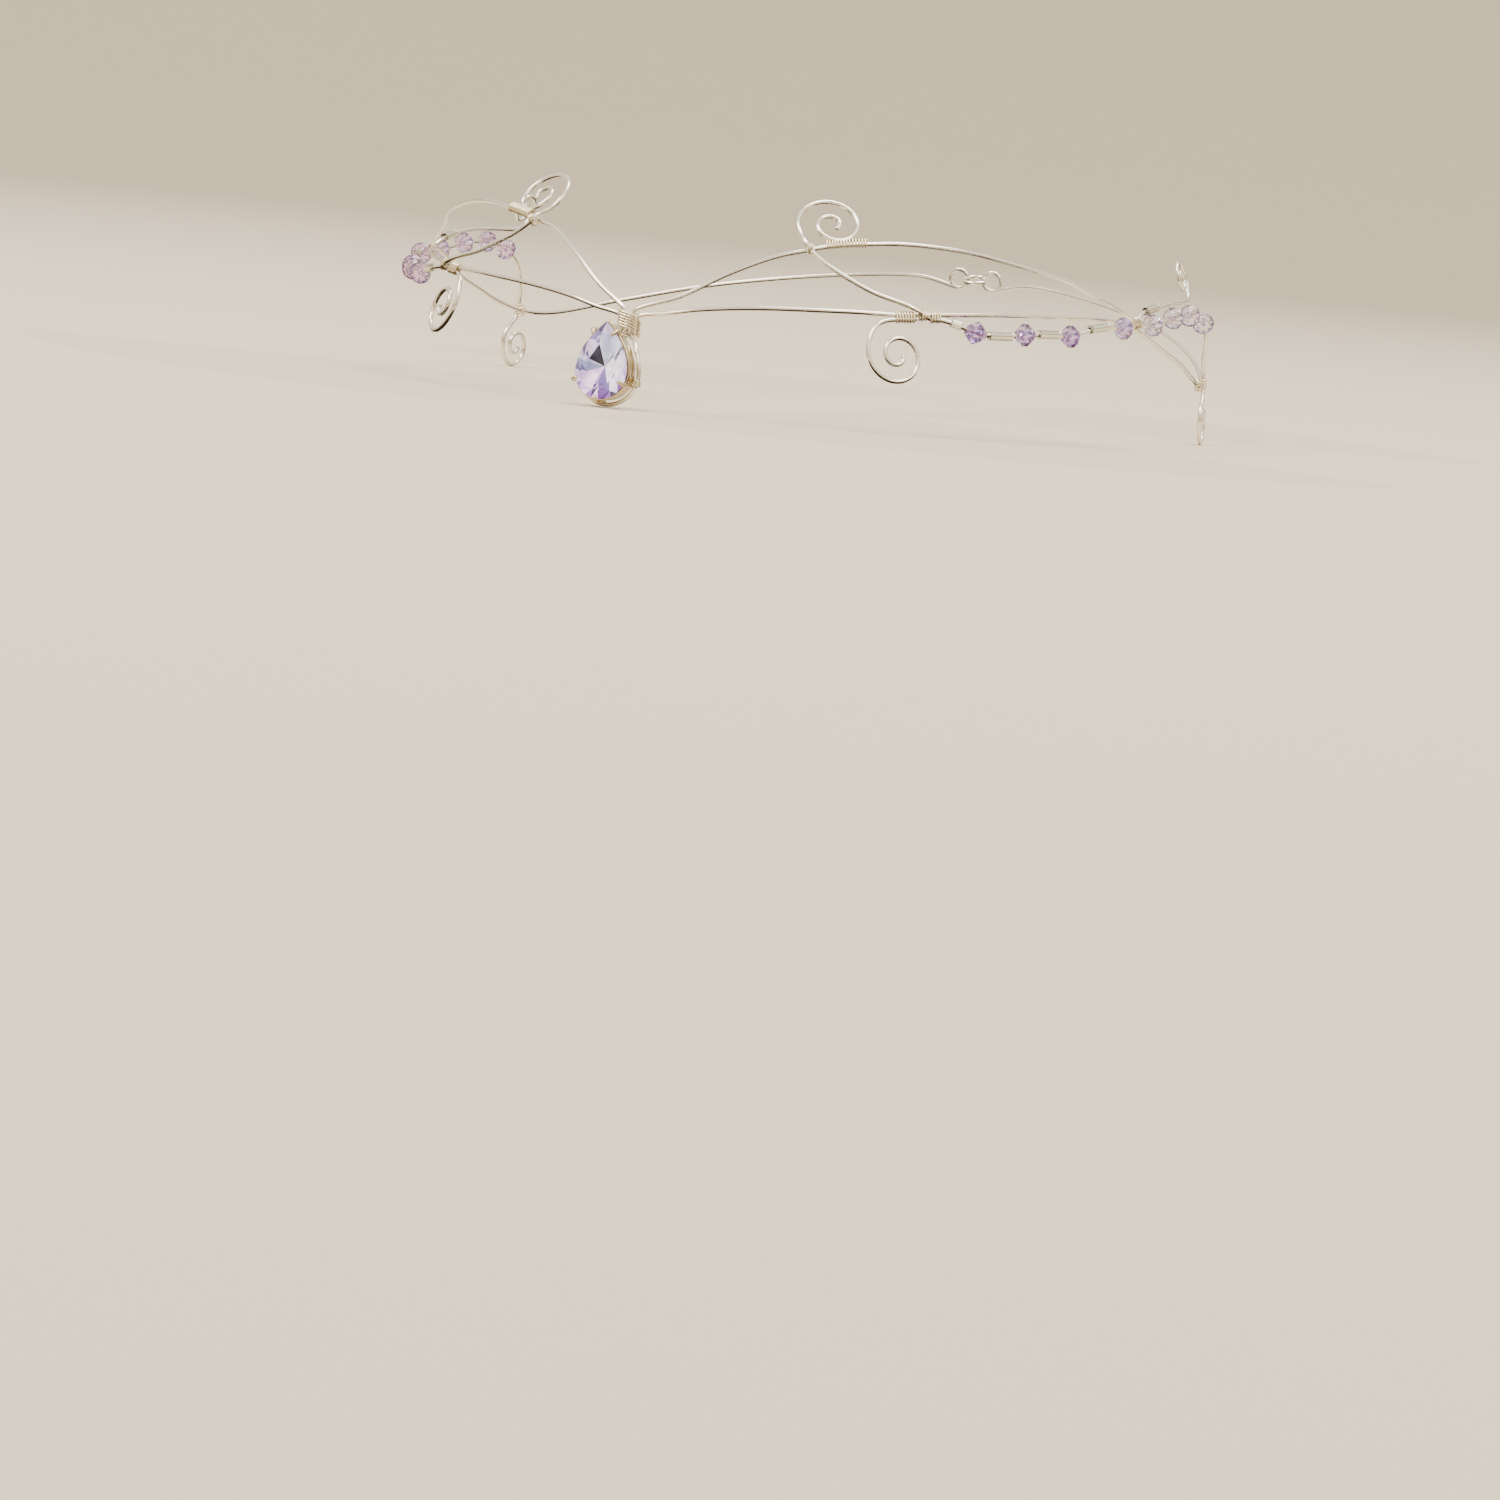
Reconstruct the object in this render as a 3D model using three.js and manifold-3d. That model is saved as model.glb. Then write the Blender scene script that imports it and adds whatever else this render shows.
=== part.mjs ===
// Wire circlet with a pear crystal on the brow, two curls on each temple and a strand of beads
// on each side. Millimetres, +Z up, the brow faces -Y and the wearer's left is +X. It stands on
// a flat surface on the foot of its pendant and on the two lowest curls at the rear.

import * as THREE from 'three';
import { mergeVertices } from 'three/addons/utils/BufferGeometryUtils.js';
import Module from 'manifold-3d';

const wasm = await Module();
wasm.setup();

// Rounded form that all the wires are bent round: its greatest half sizes, and how square it is
const formHalfWidth = 75;
const formHalfLength = 98;
const formHeight = 68;
const formFullness = 2.4;

// Wires
const wireDiameter = 0.8;
const bindingDiameter = 0.32;
const coilWireDiameter = 0.36;
const wireGap = 0.12;
const wireSides = 5;
const passageSides = 8;
const longestWireStep = 6;
const strandStep = 3;
const curlStepsPerTurn = 14;
const windingCorners = 8;
const grooveShare = 0.55;

// Pear crystal, its setting and the wire frame behind it
const stoneWidth = 10;
const stoneLength = 14;
const stoneCrown = 1.7;
const stonePavilion = 3.4;
const stoneGirdle = 0.3;
const stoneTableShare = 0.56;
const stoneCuletShare = 0.06;
const stoneLean = 20;
const stoneHeightShare = 0.506;
const stoneStandOff = 8.6;
const settingDepth = 4.4;
const settingWall = 0.6;
const settingFlare = 0.25;
const settingGap = 0.25;
const rimBelowGirdle = 0.3;
const clawDiameter = 0.8;
const clawReach = 0.45;
const clawInset = 0.35;
const frameGap = 0.5;
const frameStep = 3;

// Coil that gathers the wires above the crystal, measured from the crystal's middle
const coilHeight = 7.6;
const coilSetBack = 10.2;
const coilTurns = 6;
const coilPitch = 0.5;
const coilSlack = 1.1;

// Beads
const beadDiameter = 4.3;
const beadLength = 3.9;
const beadEndDiameter = 1.7;
const bugleDiameter = 1.6;
const bugleLength = 5.4;
const spacerLength = 2;
const threadGap = 0.25;
const bugleGap = 0.2;
const beadSides = 10;

// Rings and eyes at the back
const eyeDiameter = 4;
const ringDiameter = 5.2;
const ringSteps = 14;

const wireRadius = wireDiameter / 2;
const wirePitch = wireDiameter + wireGap;
const crossLift = wirePitch + wireGap;
const strandLift = beadDiameter / 2 - wireRadius + wireGap;
const overBead = beadDiameter / 2 + wireRadius + threadGap;

const silver = new THREE.MeshStandardMaterial({ color: '#cfcabd', roughness: 0.22, metalness: 1 });
const crystal = new THREE.MeshStandardMaterial({ color: '#c3aed6', roughness: 0.05, metalness: 0 });
const lavenderBead = new THREE.MeshStandardMaterial({ color: '#bda3cf', roughness: 0.1, metalness: 0 });
const silverLined = new THREE.MeshStandardMaterial({ color: '#e4e0d4', roughness: 0.15, metalness: 0 });

const circlet = new THREE.Group();
const radians = THREE.MathUtils.degToRad;

// A place on the form: angle round it from the brow in degrees, height as a share of formHeight
function formPlace(side, angle, heightShare) {
  const across = (1 - Math.abs(heightShare) ** formFullness) ** (1 / formFullness);
  const sin = Math.sin(radians(angle));
  const cos = Math.cos(radians(angle));
  const spread = across ** (formFullness - 2);
  const point = new THREE.Vector3(
    side * formHalfWidth * across * sin,
    -formHalfLength * across * cos,
    formHeight * heightShare,
  );
  const out = new THREE.Vector3(
    (spread * point.x) / formHalfWidth ** 2,
    (spread * point.y) / formHalfLength ** 2,
    (Math.sign(heightShare) * Math.abs(heightShare) ** (formFullness - 1)) / formHeight,
  ).normalize();
  const back = new THREE.Vector3(side * formHalfWidth * cos, formHalfLength * sin, 0).normalize();
  const up = new THREE.Vector3(0, 0, 1).addScaledVector(out, -out.z).normalize();
  return { point, out, back, up };
}

// A point of a route: angle, height share, then millimetres up along the form and out from it
function routePoint(side, [angle, heightShare, rise = 0, lift = 0]) {
  const { point, out, up } = formPlace(side, angle, heightShare);
  return point.addScaledVector(up, rise).addScaledVector(out, lift);
}

const route = (side, rows) => rows.map((row) => routePoint(side, row));

// A flat spiral on the form. Angles run from the back over the top, in degrees
function curlPoints(side, curl) {
  const { point, out, back, up } = formPlace(side, curl.angle, curl.heightShare);
  const count = Math.round((curl.sweep / 360) * curlStepsPerTurn);
  const points = [];
  for (let step = 0; step <= count; step++) {
    const share = step / count;
    const turn = radians(curl.start + share * curl.sweep);
    const radius = curl.firstRadius + (curl.lastRadius - curl.firstRadius) * share ** curl.opening;
    points.push(
      point.clone()
        .addScaledVector(back, radius * Math.cos(turn))
        .addScaledVector(up, radius * Math.sin(turn))
        .addScaledVector(out, curl.lift ?? 0),
    );
  }
  return points;
}

// Points along a smooth line through the given ones, none further apart than the longest step
function smoothPath(points, longestStep = longestWireStep) {
  const curve = new THREE.CatmullRomCurve3(points, false, 'centripetal');
  const spans = points.length - 1;
  const path = [points[0].clone()];
  for (let span = 0; span < spans; span++) {
    const cuts = Math.ceil(points[span].distanceTo(points[span + 1]) / longestStep);
    for (let cut = 1; cut <= cuts; cut++) path.push(curve.getPoint((span + cut / cuts) / spans));
  }
  return path;
}

class PointPath extends THREE.Curve {
  constructor(points) {
    super();
    this.points = points;
  }
  getPoint(t, target = new THREE.Vector3()) {
    const last = this.points.length - 1;
    const at = Math.min(Math.max(t, 0), 1) * last;
    const index = Math.min(Math.floor(at), last - 1);
    return target.lerpVectors(this.points[index], this.points[index + 1], at - index);
  }
  getUtoTmapping(u) {
    return u;
  }
}

function wireGeometry(path, radius, sides = wireSides) {
  const section = new THREE.Shape();
  for (let corner = 0; corner < sides; corner++) {
    const turn = (corner / sides) * 2 * Math.PI;
    if (corner === 0) section.moveTo(radius, 0);
    else section.lineTo(radius * Math.cos(turn), radius * Math.sin(turn));
  }
  return new THREE.ExtrudeGeometry(section, {
    steps: path.length - 1,
    extrudePath: new PointPath(path),
    curveSegments: 1,
  });
}

function addMesh(name, geometry, material, parent = circlet) {
  const mesh = new THREE.Mesh(geometry, material);
  mesh.name = name;
  parent.add(mesh);
  return mesh;
}

// Corners closer together than this are one corner
const sameCorner = 1e-5;

function solidOf(geometry) {
  const bare = new THREE.BufferGeometry();
  bare.setAttribute('position', geometry.getAttribute('position').clone());
  if (geometry.index) bare.setIndex(geometry.index.clone());
  const merged = mergeVertices(bare, sameCorner);
  return new wasm.Manifold(new wasm.Mesh({
    numProp: 3,
    vertProperties: new Float32Array(merged.getAttribute('position').array),
    triVerts: new Uint32Array(merged.index.array),
  }));
}

function geometryOf(solid) {
  const { vertProperties, triVerts } = solid.getMesh();
  const geometry = new THREE.BufferGeometry();
  geometry.setAttribute('position', new THREE.BufferAttribute(vertProperties, 3));
  geometry.setIndex(new THREE.BufferAttribute(triVerts, 1));
  return geometry;
}

// Closed skin over rings of points. Capped at both ends, or joined last to first
function loftGeometry(rings, capped) {
  const sides = rings[0].length;
  const positions = rings.flat().flatMap((point) => point.toArray());
  const index = [];
  const spans = capped ? rings.length - 1 : rings.length;
  for (let ring = 0; ring < spans; ring++) {
    const next = (ring + 1) % rings.length;
    for (let corner = 0; corner < sides; corner++) {
      const a = ring * sides + corner;
      const b = ring * sides + ((corner + 1) % sides);
      const c = next * sides + ((corner + 1) % sides);
      const d = next * sides + corner;
      index.push(a, b, c, a, c, d);
    }
  }
  if (capped) {
    const last = (rings.length - 1) * sides;
    for (let corner = 1; corner < sides - 1; corner++) {
      index.push(0, corner + 1, corner, last, last + corner, last + corner + 1);
    }
  }
  const geometry = new THREE.BufferGeometry();
  geometry.setAttribute('position', new THREE.Float32BufferAttribute(positions, 3));
  geometry.setIndex(index);
  return geometry;
}

// Ribbed oval body round an axis of points, one rib for each turn of the binding wire
function windingSolid(places, turns, halfAcross, halfDeep, thread) {
  const axis = new THREE.CatmullRomCurve3(places.map((place) => place.point), false, 'centripetal');
  const rings = [];
  for (let step = 0; step <= 2 * turns; step++) {
    const share = step / (2 * turns);
    const middle = axis.getPoint(share);
    const along = axis.getTangent(share);
    const out = places[0].out.clone().lerp(places.at(-1).out, share);
    out.addScaledVector(along, -out.dot(along)).normalize();
    const across = new THREE.Vector3().crossVectors(out, along);
    const rib = step % 2 === 1 ? thread : thread * grooveShare;
    const ring = [];
    for (let corner = 0; corner < windingCorners; corner++) {
      const turn = (corner / windingCorners) * 2 * Math.PI;
      ring.push(
        middle.clone()
          .addScaledVector(across, (halfAcross + rib) * Math.cos(turn))
          .addScaledVector(out, (halfDeep + rib) * Math.sin(turn)),
      );
    }
    rings.push(ring);
  }
  return solidOf(loftGeometry(rings, true));
}

// Winding with a passage for each wire that it holds. Slivers between passages are left out
function cutPassages(winding, paths) {
  const cut = paths.reduce(
    (solid, path) => solid.subtract(solidOf(wireGeometry(path, wireRadius + wireGap, passageSides))),
    winding,
  );
  return cut.decompose().sort((one, other) => other.volume() - one.volume())[0];
}

function turnedBead(profile) {
  const outline = profile.map(([radius, along]) => new THREE.Vector2(radius, along));
  return new THREE.LatheGeometry(outline, beadSides);
}

function biconeGeometry() {
  const hole = wireRadius + threadGap;
  return turnedBead([
    [hole, -beadLength / 2],
    [beadEndDiameter / 2, -beadLength / 2],
    [beadDiameter / 2, 0],
    [beadEndDiameter / 2, beadLength / 2],
    [hole, beadLength / 2],
    [hole, -beadLength / 2],
  ]);
}

function bugleGeometry(length) {
  const hole = wireRadius + bugleGap;
  return turnedBead([
    [hole, -length / 2],
    [bugleDiameter / 2, -length / 2],
    [bugleDiameter / 2, length / 2],
    [hole, length / 2],
    [hole, -length / 2],
  ]);
}

// Pendant: its own frame has the crystal's middle at 0, +y up its long axis, +z out of its table
const pendant = new THREE.Group();
const stoneFoot = formPlace(1, 0, stoneHeightShare).point;
pendant.position.set(0, stoneFoot.y - stoneStandOff, stoneFoot.z);
pendant.rotation.x = radians(90 - stoneLean);
pendant.updateMatrixWorld();
circlet.add(pendant);

const fromPendant = ([x, y, z]) => new THREE.Vector3(x, y, z).applyMatrix4(pendant.matrixWorld);

// The round foot of the pear is a half circle round this height, and its tip grows faster
const footMiddle = (stoneWidth - stoneLength) / 2;
const tipGrowth = 1.4;

// Pear outline grown outwards by the margin: a round foot, and sides that meet in a point
function pearOutline(margin, footSteps = 8, sideSteps = 4) {
  const radius = stoneWidth / 2 + margin;
  const rise = stoneLength / 2 - footMiddle + margin * tipGrowth;
  const side = (share) => [radius * (1 - share ** 2), footMiddle + rise * share];
  const points = [];
  for (let step = 0; step <= footSteps; step++) {
    const turn = Math.PI + (step / footSteps) * Math.PI;
    points.push([radius * Math.cos(turn), footMiddle + radius * Math.sin(turn)]);
  }
  for (let step = 1; step <= sideSteps; step++) points.push(side(step / sideSteps));
  for (let step = sideSteps - 1; step > 0; step--) {
    const [x, y] = side(step / sideSteps);
    points.push([-x, y]);
  }
  return points;
}

const pearRing = (margin, z) => pearOutline(margin).map(([x, y]) => new THREE.Vector3(x, y, z));

function crystalGeometry() {
  const middle = footMiddle / 2;
  const shrunk = (share, z) => pearOutline(0).map(([x, y]) => (
    new THREE.Vector3(x * share, middle + (y - middle) * share, z)
  ));
  return loftGeometry([
    shrunk(stoneCuletShare, -stonePavilion),
    shrunk(1, -stoneGirdle / 2),
    shrunk(1, stoneGirdle / 2),
    shrunk(stoneTableShare, stoneCrown),
  ], true);
}

// Claws stand on the basket's rim at these shares of the crystal's half width and half length
const clawPlaces = [
  [-0.88, -0.54],
  [0.88, -0.54],
  [0, -1],
  [-0.4, 0.7],
  [0.4, 0.7],
];

// A claw leans out to clear the girdle and ends over the crown. Heights are shares of the crown
const clawShoulderShare = 0.32;
const clawTipShare = 0.75;

const rimDepth = stoneGirdle / 2 + rimBelowGirdle;

function clawSolid([acrossShare, alongShare]) {
  const foot = new THREE.Vector2((acrossShare * stoneWidth) / 2, (alongShare * stoneLength) / 2);
  const away = new THREE.Vector2(acrossShare / stoneWidth, alongShare / stoneLength).normalize();
  const place = (margin, z) => {
    const spot = foot.clone().addScaledVector(away, margin);
    return new THREE.Vector3(spot.x, spot.y, z);
  };
  const outside = clawDiameter / 2 + settingGap;
  return solidOf(wireGeometry([
    place(outside - clawInset, -settingDepth / 2),
    place(outside, -rimDepth),
    place(outside, stoneCrown * clawShoulderShare),
    place(-clawReach, stoneCrown * clawTipShare),
  ], clawDiameter / 2));
}

function settingGeometry() {
  const basket = solidOf(loftGeometry([
    pearRing(-settingFlare, -settingDepth),
    pearRing(settingFlare, -rimDepth),
    pearRing(settingFlare - settingWall, -rimDepth),
    pearRing(-settingFlare - settingWall, -settingDepth),
  ], false));
  return geometryOf(clawPlaces.reduce((whole, claw) => whole.add(clawSolid(claw)), basket));
}

const frameRadius = stoneWidth / 2 - settingFlare + frameGap + wireRadius;
const frameDepth = settingDepth - wireRadius;
const coilBottom = coilHeight - (coilTurns * coilPitch) / 2;
const coilTop = coilHeight + (coilTurns * coilPitch) / 2;
const stemX = wirePitch / 2;
const frontRow = -coilSetBack + wirePitch / 2;
const backRow = -coilSetBack - wirePitch / 2;

// The frame between coil and basket: shares of its foot's radius, of the coil's height and of
// the way back from the basket to the coil's rear row
const frameShoulders = [
  { across: 0.4, along: 0.8, back: 0.5 },
  { across: 0.78, along: 0.42, back: 0.07 },
];
const frameFootStep = 22.5;

// A place on the frame's round foot, by its angle in degrees
function frameFoot(angle) {
  const x = frameRadius * Math.cos(radians(angle));
  return new THREE.Vector3(x, footMiddle + frameRadius * Math.sin(radians(angle)), -frameDepth);
}

// The pear frame, from the coil down one side, round its foot and up the other side
function framePoints() {
  const side = [
    new THREE.Vector3(stemX, coilTop + wireRadius, backRow),
    new THREE.Vector3(stemX, coilHeight, backRow),
    new THREE.Vector3(stemX, coilBottom - wireDiameter, backRow),
    ...frameShoulders.map(({ across, along, back }) => new THREE.Vector3(
      across * frameRadius,
      along * coilBottom,
      -frameDepth + back * (backRow + frameDepth),
    )),
  ];
  const foot = [];
  for (let angle = 0; angle >= -180; angle -= frameFootStep) foot.push(frameFoot(angle));
  const farSide = side.map(({ x, y, z }) => new THREE.Vector3(-x, y, z)).reverse();
  return [...side, ...foot, ...farSide];
}

addMesh('centre_stone', crystalGeometry(), crystal, pendant);
addMesh('stone_setting', settingGeometry(), silver, pendant);
const framePath = smoothPath(framePoints(), frameStep);
const frameWire = addMesh('pendant_frame_wire', wireGeometry(framePath, wireRadius), silver, pendant);

// Turns of binding wire low on the frame, on the wearer's left, between two angles of its foot
const frameBinding = { from: -25, to: -33, turns: 2 };

function frameBindingGeometry() {
  const out = new THREE.Vector3(0, 0, 1);
  const places = [frameBinding.from, frameBinding.to].map((angle) => ({ point: frameFoot(angle), out }));
  const half = wireRadius + wireGap;
  const winding = windingSolid(places, frameBinding.turns, half, half, bindingDiameter);
  return geometryOf(cutPassages(winding, [framePath]));
}
addMesh('frame_binding', frameBindingGeometry(), silver, pendant);

// The wires fan out of the coil's top by these shares of the wire pitch
const coilFan = {
  upper: { across: 1.4, up: 1.2 },
  lower: { across: 2.6, up: 0.16 },
};

const coilEntry = {
  upper: [
    [stemX, coilBottom - wireGap, frontRow],
    [stemX, coilTop, frontRow],
    [coilFan.upper.across * wirePitch, coilTop + coilFan.upper.up * wirePitch, frontRow],
  ],
  lower: [
    [stemX + wirePitch, coilBottom - wireGap, frontRow],
    [stemX + wirePitch, coilTop - wireRadius, frontRow],
    [coilFan.lower.across * wirePitch, coilTop + coilFan.lower.up * wirePitch, frontRow],
  ],
};

// Routes of the wires of one side. Columns: angle, height share, rise, lift
const upperRows = (bow) => [
  [7.4, 0.63, bow],
  [14.9, 0.684, bow],
  [22.4, 0.7185, bow],
  [27.5, 0.7285, 0.5 * bow],
  [31, 0.7335],
  [34.4, 0.734],
  [38, 0.731],
  [44, 0.722],
  [50, 0.703],
  [56, 0.675],
  [62, 0.634],
  [67, 0.594],
  [71.5, 0.552],
  [75, 0.506],
  [78, 0.462, 0, 0.5 * strandLift],
];

// Past the side wrap the upper wire lies on the tops of three beads
const overBeadRows = [
  [80.9, 0.386, wirePitch, strandLift + 0.5 * wirePitch],
  [83, 0.378, 0.75 * overBead, strandLift],
  [85.8, 0.366, 0.97 * overBead, strandLift],
  [88.6, 0.356, overBead, strandLift],
  [92.5, 0.342, overBead, strandLift],
  [97.5, 0.315, overBead, strandLift],
];
const bugleOverPlace = 2;

const lowerRows = [
  [6, 0.592],
  [11, 0.604],
  [17, 0.609],
  [23, 0.607],
  [29.8, 0.598],
  [35, 0.588],
  [40.8, 0.572],
  [43.8, 0.565],
  [46.4, 0.559],
  [48.8, 0.552],
  [57.6, 0.524],
  [68, 0.477],
  [76.9, 0.428],
  [81.7, 0.384],
  [89.7, 0.266],
  [95, 0.195],
  [100, 0.124],
  [105.2, 0.064],
  [111, 0.025],
  [124, 0.004],
  [140, 0],
  [158, 0],
  [171, 0],
];

// The upper curl's wire crosses in front of both long wires on its way down to the strand
const crossingRows = [
  [27.4, 0.737, 0, crossLift],
  [29, 0.716, 0, 0.5 * crossLift],
  [31.6, 0.69],
  [35, 0.656],
  [38.4, 0.624],
  [41.8, 0.595, 0, 0.5 * crossLift],
  [43.6, 0.575, 0, crossLift],
  [44.9, 0.5625, -0.3 * wirePitch, crossLift],
  [46.1, 0.56, -wirePitch, 0.1 * crossLift],
  [47.3, 0.5565, -wirePitch],
];

const strandRows = [
  [49.4, 0.522, 0, 0.8 * strandLift],
  [51.9, 0.494, 0, strandLift],
  [55.6, 0.474, 0, strandLift],
  [59.6, 0.463, 0, strandLift],
  [63.5, 0.448, 0, strandLift],
  [67.3, 0.427, 0, strandLift],
  [72.6, 0.422, 0, strandLift + 0.5 * wirePitch],
  [77.1, 0.398, 0, strandLift + wirePitch],
  [80.9, 0.386, 0, strandLift + 0.5 * wirePitch],
  [84.6, 0.366, 0, strandLift + 0.5 * wirePitch],
  [91.6, 0.345, 0, strandLift],
  [98, 0.312, 0, strandLift],
  [103.2, 0.255, 0, strandLift + 0.5 * wirePitch],
];
const beadStrandPlaces = [1, 3, 5, 7, 9, 10, 11, 12];
const bugleStrandPlaces = [2, 4, 6];
const spacerStrandPlace = 0;

const dropRows = [
  [105.6, 0.195, 0, strandLift],
  [105.7, 0.13, 0, crossLift],
  [105.4, 0.075, 0, crossLift],
  [105, 0.045, 0, crossLift],
];

const lowerCurlStem = [
  [43.9, 0.565, -wirePitch],
  [42.4, 0.5685, -wirePitch],
  [41, 0.5715, -wirePitch],
];

const upperCurl = {
  angle: 32.5,
  heightShare: 0.776,
  start: -67,
  sweep: 618,
  firstRadius: 0.9,
  lastRadius: 6.7,
  opening: 1.15,
};
const lowerCurl = {
  angle: 40.7,
  heightShare: 0.476,
  start: 112,
  sweep: 600,
  firstRadius: 6.7,
  lastRadius: 1,
  opening: 0.8,
};
const rearLowerCurl = {
  angle: 104.6,
  heightShare: -0.045,
  start: 100,
  sweep: 600,
  firstRadius: 5.2,
  lastRadius: 1,
  opening: 0.8,
  lift: crossLift,
};
const rearUpperCurl = {
  angle: 103.5,
  heightShare: 0.39,
  start: -80,
  sweep: 560,
  firstRadius: 4.2,
  lastRadius: 1,
  opening: 0.85,
};

// Windings of fine wire: turns, how much wider and deeper than one wire, and the rows of their axis
const windings = {
  upper_wrap: {
    turns: 14,
    wider: 0.45 * wirePitch,
    deeper: 0,
    rows: [
      [31, 0.7355, 0.25 * wirePitch],
      [34.4, 0.734, 0.35 * wirePitch],
      [38, 0.731, 0.25 * wirePitch],
    ],
  },
  lower_wrap: {
    turns: 7,
    wider: 0.5 * wirePitch,
    deeper: 0,
    rows: [
      [41.1, 0.5713, -0.5 * wirePitch],
      [43.7, 0.5653, -0.5 * wirePitch],
    ],
  },
  cross_wrap: {
    turns: 5,
    wider: 0.5 * wirePitch,
    deeper: 0,
    rows: [
      [46, 0.56, -0.5 * wirePitch],
      [47.5, 0.556, -0.5 * wirePitch],
    ],
  },
  side_wrap: {
    turns: 3,
    wider: 0.5 * wirePitch,
    deeper: 0,
    rows: [
      [80.2, 0.388, 0.5 * wirePitch, strandLift + 0.5 * wirePitch],
      [81.6, 0.384, 0.5 * wirePitch, strandLift + 0.5 * wirePitch],
    ],
  },
  rear_wrap: {
    turns: 4,
    wider: wireGap,
    deeper: 0.5 * crossLift,
    rows: [
      [105.4, 0.079, 0, 0.5 * crossLift],
      [105.1, 0.049, 0, 0.5 * crossLift],
    ],
  },
};

function windingOnForm(side, { turns, wider, deeper, rows }) {
  const places = rows.map((row) => ({
    point: routePoint(side, row),
    out: formPlace(side, row[0], row[1]).out,
  }));
  const half = wireRadius + wireGap;
  return windingSolid(places, turns, half + wider, half + deeper, bindingDiameter);
}

// The eye at the end of a lower wire, open by one step, through the clasp ring
const eyeStep = 30;

function eyePoints(side) {
  const ringMiddle = formPlace(side, 180, 0).point;
  const radius = eyeDiameter / 2;
  const middle = ringDiameter / 2 + radius - wirePitch;
  const points = [];
  for (let turn = 0; turn <= 360 - eyeStep; turn += eyeStep) {
    points.push(new THREE.Vector3(
      side * (middle - radius * Math.sin(radians(turn))),
      ringMiddle.y,
      ringMiddle.z - radius * Math.cos(radians(turn)),
    ));
  }
  return points;
}

function beadAt(name, geometry, material, points, index) {
  const curve = new THREE.CatmullRomCurve3(points, false, 'centripetal');
  const along = curve.getTangent(index / (points.length - 1));
  const mesh = addMesh(name, geometry, material);
  mesh.position.copy(points[index]);
  mesh.quaternion.setFromUnitVectors(new THREE.Vector3(0, 1, 0), along);
}

// The upper wire of each side bows up by this much between the coil and its curl
const upperBow = { left: 0, right: 1.2 };

const coilPaths = [];
let rearContact;

function addSide(side, name) {
  const piece = (part) => `${name}_${part}`;
  const addWire = (part, path) => addMesh(piece(part), wireGeometry(path, wireRadius), silver);
  const fromCoil = (rows) => rows.map(([x, y, z]) => fromPendant([side * x, y, z]));

  const templePoints = [...fromCoil(coilEntry.upper), ...route(side, upperRows(upperBow[name]))];
  const overBeads = route(side, overBeadRows);
  const upperPoints = [...templePoints, ...overBeads, ...curlPoints(side, rearUpperCurl)];
  const upperPath = smoothPath(upperPoints);
  addWire('upper_wire', upperPath);

  const lowerPoints = [...fromCoil(coilEntry.lower), ...route(side, lowerRows), ...eyePoints(side)];
  const lowerPath = smoothPath(lowerPoints);
  addWire('lower_wire', lowerPath);
  coilPaths.push(upperPath, lowerPath);

  const crossing = [...curlPoints(side, upperCurl), ...route(side, crossingRows)];
  const strand = route(side, strandRows);
  const drop = [...route(side, dropRows), ...curlPoints(side, rearLowerCurl)];
  const corePoints = [...crossing, ...strand, ...drop];
  const corePath = smoothPath(corePoints, strandStep);
  rearContact = addWire('upper_curl_wire', corePath);

  const lowerCurlPath = smoothPath([...route(side, lowerCurlStem), ...curlPoints(side, lowerCurl)]);
  addWire('lower_curl_wire', lowerCurlPath);

  const paths = [upperPath, lowerPath, corePath, lowerCurlPath];
  for (const [part, winding] of Object.entries(windings)) {
    addMesh(piece(part), geometryOf(cutPassages(windingOnForm(side, winding), paths)), silver);
  }

  const onStrand = (part, geometry, material, place) => (
    beadAt(piece(part), geometry, material, corePoints, crossing.length + place)
  );
  beadStrandPlaces.forEach((place, order) => {
    onStrand(`bead_${order + 1}`, biconeGeometry(), lavenderBead, place);
  });
  onStrand('spacer', bugleGeometry(spacerLength), silverLined, spacerStrandPlace);
  bugleStrandPlaces.forEach((place, order) => {
    onStrand(`bugle_${order + 1}`, bugleGeometry(bugleLength), silverLined, place);
  });
  const lastBugle = `bugle_${bugleStrandPlaces.length + 1}`;
  const overPlace = templePoints.length + bugleOverPlace;
  beadAt(piece(lastBugle), bugleGeometry(bugleLength), silverLined, upperPoints, overPlace);
}

addSide(1, 'left');
addSide(-1, 'right');

// Coil above the crystal, wound round the four wires and the two stems of the frame
function coilGeometry() {
  const places = [coilBottom, coilTop].map((y) => ({
    point: fromPendant([0, y, -coilSetBack]),
    out: new THREE.Vector3(0, 0, 1).transformDirection(pendant.matrixWorld),
  }));
  const halfAcross = 1.5 * wirePitch + wireRadius + wireGap;
  const halfDeep = 0.5 * wirePitch + wireRadius + wireGap;
  const across = halfAcross * coilSlack;
  const winding = windingSolid(places, coilTurns, across, halfDeep * coilSlack, coilWireDiameter);
  const stems = framePath.map((point) => point.clone().applyMatrix4(pendant.matrixWorld));
  return geometryOf(cutPassages(winding, [...coilPaths, stems]));
}
addMesh('centre_coil', coilGeometry(), silver);

// Ring at the back that both eyes hook into
const clasp = addMesh(
  'clasp_ring',
  new THREE.TorusGeometry(ringDiameter / 2, wireRadius, wireSides, ringSteps),
  silver,
);
clasp.position.copy(formPlace(1, 180, 0).point);

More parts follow.
